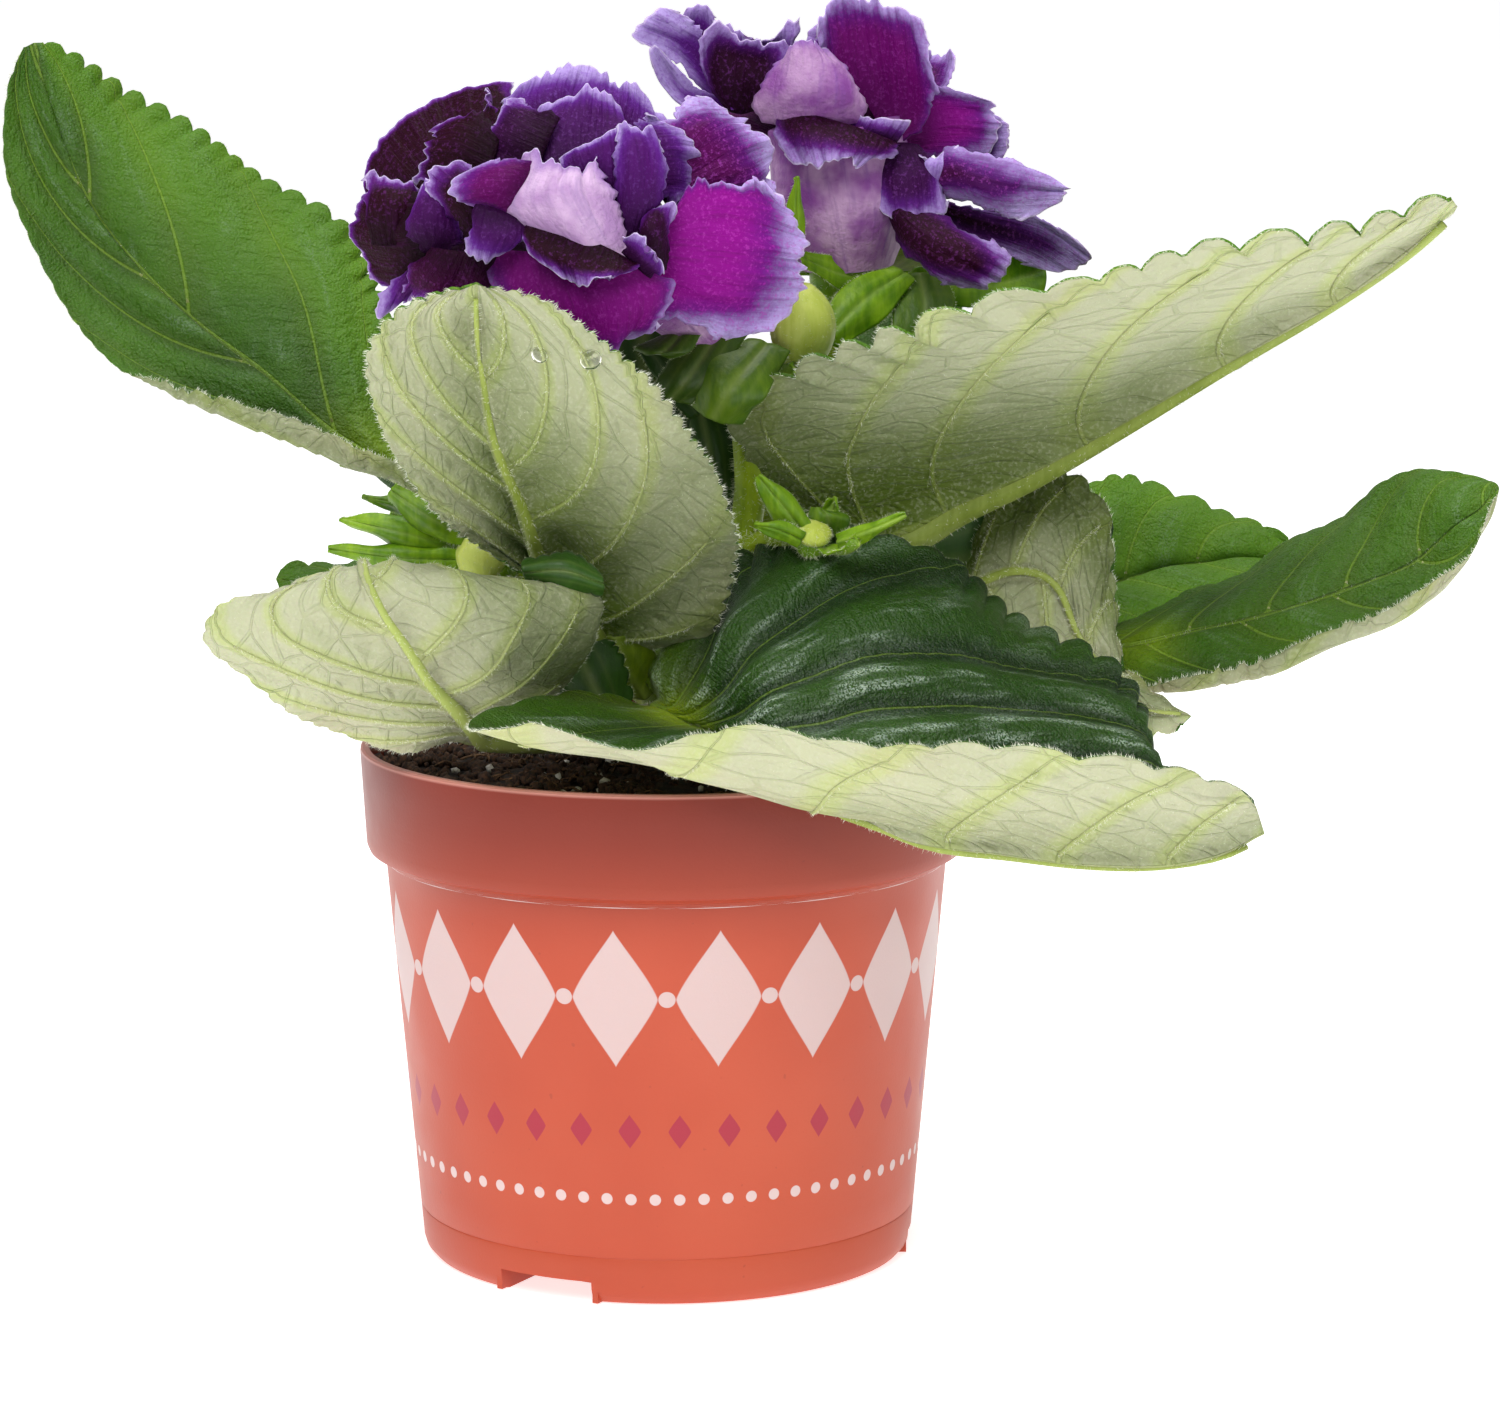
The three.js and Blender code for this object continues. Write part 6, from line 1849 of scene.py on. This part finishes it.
def add_block(piece, inner, outer, width, low, high, angle):
    """A block between two radii and two heights, turned round Z by an angle."""
    x = [inner, outer, outer, inner]
    y = [-width / 2, -width / 2, width / 2, width / 2]
    corners = np.array([[x[k % 4], y[k % 4], low if k < 4 else high] for k in range(8)])
    turn = [[math.cos(angle), math.sin(angle), 0], [-math.sin(angle), math.cos(angle), 0], [0, 0, 1]]
    sides = [[0, 1, 5, 4], [1, 2, 6, 5], [2, 3, 7, 6], [3, 0, 4, 7]]
    piece.add(corners @ np.array(turn), [[0, 3, 2, 1], [4, 5, 6, 7], *sides])


def channel_blocks():
    """The blocks that raise the drain channels' roofs, and those that cut the channels and their holes."""
    width, height, inner, wall = CHANNEL["width"], CHANNEL["height"], CHANNEL["inner"], POT["wall"]
    base, foot = POT["base_radius"], POT["body_foot_radius"]
    away = (inner + base) / 2 + wall
    hoods, recesses = Piece(), Piece()
    for i in range(CHANNEL["count"]):
        angle = math.radians(CHANNEL["first_angle"] + 360 * i / CHANNEL["count"])
        add_block(hoods, inner, base + 0.4, width + 2 * wall, 0.3, height + wall, angle)
        add_block(recesses, inner + wall, foot + 4, width, -1, height, angle)
        middle = [away * math.cos(angle), away * math.sin(angle)]
        drill = np.array([[*middle, height - 1], [*middle, height + 8]])
        recesses.tube(drill, [CHANNEL["hole_radius"]] * 2, 24)
    return hoods.done("hoods", [], "pot_plastic"), recesses.done("recesses", [], "pot_plastic")


def finish_pot(pot, material):
    """The heights where the pot is printed, its sharp edges and its material."""
    mesh = pot.data
    mesh.materials.clear()
    mesh.materials.append(material)
    places = np.zeros(len(mesh.vertices) * 3)
    mesh.vertices.foreach_get("co", places)
    x, y, height = (places.reshape(-1, 3) / MM).T
    low, high = PRINT["limits"]
    # The wall leans out by at least that much a millimetre, so what is nearer the axis is its inside.
    lean = 0.085
    foot = POT["body_foot_radius"]
    radius = np.hypot(x, y)
    outside = (radius > foot - 0.3) & (height < high) & (height > low)
    outside &= radius > foot + (height - 4.5) * lean - 0.5
    print_height = np.where(outside, height, -50)
    mesh.attributes.new("print_height", "FLOAT", "POINT").data.foreach_set("value", print_height)
    mesh.polygons.foreach_set("use_smooth", [True] * len(mesh.polygons))
    mesh.set_sharp_from_angle(angle=math.radians(32))


def ball_corners():
    """The twelve corners of a ball of even triangles, whose sides are 2 long."""
    golden = (1 + 5**0.5) / 2
    corners = np.array([[0, a, b * golden] for a in (-1, 1) for b in (-1, 1)])
    return np.concatenate([corners, corners[:, [1, 2, 0]], corners[:, [2, 0, 1]]])


def lump(random, radius):
    """The points of an angular lump: a ball of twelve corners, bent."""
    bend = random.uniform(0.55, 1.25, (12, 1))
    stretch = random.uniform(0.6, 1.3, 3)
    return unit(ball_corners()) * radius * bend * stretch


def ball_faces():
    """The twenty faces of the ball of twelve corners, each turned outward."""
    corners = ball_corners()
    gaps = np.linalg.norm(corners[:, None] - corners[None], axis=2)
    faces = []
    for a, b, c in itertools.combinations(range(12), 3):
        if max(gaps[a, b], gaps[b, c], gaps[a, c]) < 2.1:
            out = np.dot(np.cross(corners[b] - corners[a], corners[c] - corners[a]), corners[a])
            faces.append([a, b, c] if out > 0 else [a, c, b])
    return faces


def soil_height(x, y):
    """The height of the bed's surface, highest in the middle and uneven."""
    share = np.hypot(x, y) / SOIL["rim"]
    bumps = 0.5 * np.sin(x / 4.3 + 1) * np.cos(y / 5.1) + 0.4 * np.sin(x / 2.1 + y / 2.7)
    return SOIL["middle_level"] + (SOIL["rim_level"] - SOIL["middle_level"]) * share**2 + bumps


def make_soil(bed, materials):
    """Crumbs, pale grit and fibres over the CAD bed of soil, which also gets the soil's material."""
    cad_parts["soil"].data.materials.clear()
    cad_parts["soil"].data.materials.append(bed)
    random = np.random.default_rng(SEEDS["soil"])
    faces = ball_faces()
    for name, (count, low, high) in CRUMBS.items():
        piece = Piece()
        for _ in range(count):
            away = SOIL["rim"] * math.sqrt(random.uniform(0.01, 1))
            angle = random.uniform(0, 2 * math.pi)
            x, y = away * math.cos(angle), away * math.sin(angle)
            size = random.uniform(low, high) * min(1.0, 0.4 + 2 * random.uniform())
            middle = [x, y, float(soil_height(x, y)) + 0.35 * size]
            piece.add(lump(random, size) + middle, faces)
        piece.done(name, [materials[name]], "soil")
    piece = Piece()
    for _ in range(FIBRES["count"]):
        add_fibre(piece, random)
    piece.done("soil_fibres", [materials["soil_fibres"]], "soil")


def add_fibre(piece, random):
    """One bent fibre that lies on the soil."""
    rim = SOIL["rim"]
    away = (rim - 3) * math.sqrt(random.uniform(0.02, 1))
    angle = random.uniform(0, 2 * math.pi)
    way = random.uniform(0, 2 * math.pi)
    long = random.uniform(*FIBRES["length"])
    t = np.linspace(-0.5, 0.5, 5)
    x = np.clip(away * math.cos(angle) + t * long * math.cos(way), -rim, rim)
    y = np.clip(away * math.sin(angle) + t * long * math.sin(way), -rim, rim)
    z = soil_height(x, y) + 0.8 + 0.7 * np.cos(t * 5) * random.uniform(-0.3, 1)
    piece.tube(np.stack([x, y, z], 1), np.full(5, random.uniform(*FIBRES["radius"])), 5)


def make_drops(material):
    """Water drops that hang under a leaf: flat domes on its underside."""
    rows, sides = 12, 28
    down = np.linspace(0, np.pi / 2, rows)[:, None, None]
    turn = np.linspace(0, 2 * np.pi, sides, endpoint=False)[:, None]
    piece = Piece()
    for name, along, across, radius in DROPS:
        leaf = Leaf(next(table for table in LEAVES if table["name"] == name))
        near = np.linspace(-0.02, 0.02, 5)
        points, _ = leaf.fine(*np.meshgrid(along + near, across + 2 * near, indexing="ij"))
        out = -grid_normals(points)[2, 2]
        side = unit(np.cross(out, [0, 0, 1]))
        ring = np.cos(turn) * side + np.sin(turn) * np.cross(out, side)
        dome = ring * (radius * np.sin(down)) + out * (0.5 * radius * np.cos(down))
        piece.add(points[2, 2] + out * BLADE_HALF + dome, ring_faces(rows, sides, close_first=False))
    piece.done("water_drops", [material], "leaf")


# ---------------------------------------------------------------- stage
def make_stage():
    """A white floor under soft white light."""
    bpy.ops.mesh.primitive_circle_add(vertices=96, radius=40, fill_type="NGON")
    floor = bpy.context.object
    floor.name = "floor"
    s = Surface(
        "floor_white", "F4F4F4", roughness=0.9, emission_color=(1, 1, 1, 1), emission_strength=FLOOR_GLOW)
    floor.data.materials.append(s.material)
    world = bpy.data.worlds.new("soft_white")
    bpy.context.scene.world = world
    world.use_nodes = True
    background = world.node_tree.nodes["Background"]
    background.inputs["Color"].default_value = (1, 1, 1, 1)
    background.inputs["Strength"].default_value = SKY_GLOW
    for name, (place, size, power) in LAMPS.items():
        light = bpy.data.lights.new(name, "AREA")
        light.size = size
        light.energy = power
        lamp = bpy.data.objects.new(name, light)
        lamp.location = place
        aim = np.array([0.0, 0.0, 0.12]) - place
        yaw = math.atan2(aim[1], aim[0])
        pitch = math.atan2(aim[2], math.hypot(aim[0], aim[1]))
        lamp.rotation_euler = (math.pi / 2 + pitch, 0, yaw - math.pi / 2)
        bpy.context.scene.collection.objects.link(lamp)


def make_camera():
    """The camera stands in front of the pot, a little above it, and looks slightly down."""
    camera = bpy.data.cameras.new("camera")
    camera.sensor_width = 36
    camera.lens = FOCUS * camera.sensor_width / PICTURE[0]
    camera.clip_end = 200
    holder = bpy.data.objects.new("camera", camera)
    holder.location = [c * MM for c in EYE]
    holder.rotation_euler = (math.pi / 2 - DOWN, 0, -RIGHTWARD)
    bpy.context.scene.collection.objects.link(holder)
    bpy.context.scene.camera = holder


# ---------------------------------------------------------------- everything
make_camera()
make_stage()
bpy.context.scene.view_settings.view_transform = "Standard"

stem_green = green_material("stem_green", "5E7806", "92AA14")
leaf_top = leaf_top_material(
    "leaf_top", 0.15, 0.28, roughness=0.5, specular_ior_level=0.25, sheen_weight=0.04)
velvet_top = leaf_top_material(
    "leaf_top_velvet", 1.0, 0.2, roughness=0.4, specular_ior_level=0.35, sheen_weight=0.05)
leaf_materials = [leaf_under_material(), green_material("leaf_rib", "788A28", "9AAA4A")]
leaf_hairs = Hairs(SEEDS["leaf_hairs"])
for leaf_table in LEAVES:
    top = velvet_top if leaf_table["name"] == "leaf_front" else leaf_top
    make_leaf(leaf_table, [top, *leaf_materials], leaf_hairs)
leaf_hairs.done("leaf_hairs", hair_material("hair_white", "EEF0DC"), "leaf")

petal_materials = [petal_face_material(), petal_back_material()]
make_bloom("bloom_front", petal_materials)
make_bloom("bloom_back", petal_materials)

stem_hairs = Hairs(SEEDS["stem_hairs"])
make_stem(stem_green, stem_hairs)
sepal_green = green_material("sepal_green", "4C7A08", "90B61C", 0.42)
for number, calyx_name in enumerate(CALYXES):
    make_calyx(calyx_name, sepal_green, SEEDS["calyx"] + number, stem_hairs)
bud_green = green_material("bud_green", "B4C444", "D4DE74", 0.5)
for bud_name in BUDS:
    make_bud(bud_name, bud_green, stem_hairs)
young_green = green_material("young_green", "24480E", "3E6A1A", 0.42)
make_young_leaves([sepal_green, stem_green, young_green], stem_hairs)
stem_hairs.done("stem_hairs", hair_material("hair_pale", "E2E8C4"), "stem")

make_drops(water_material())
make_pot(pot_material())
make_soil(soil_material(), {
    "soil_crumbs": chip_material("crumb_brown", "1A100C", "553824"),
    "soil_grit": chip_material("grit_white", "B8AFA4", "EDE8E0"),
    "soil_fibres": chip_material("fibre_brown", "3A2618", "7A5A3C"),
})
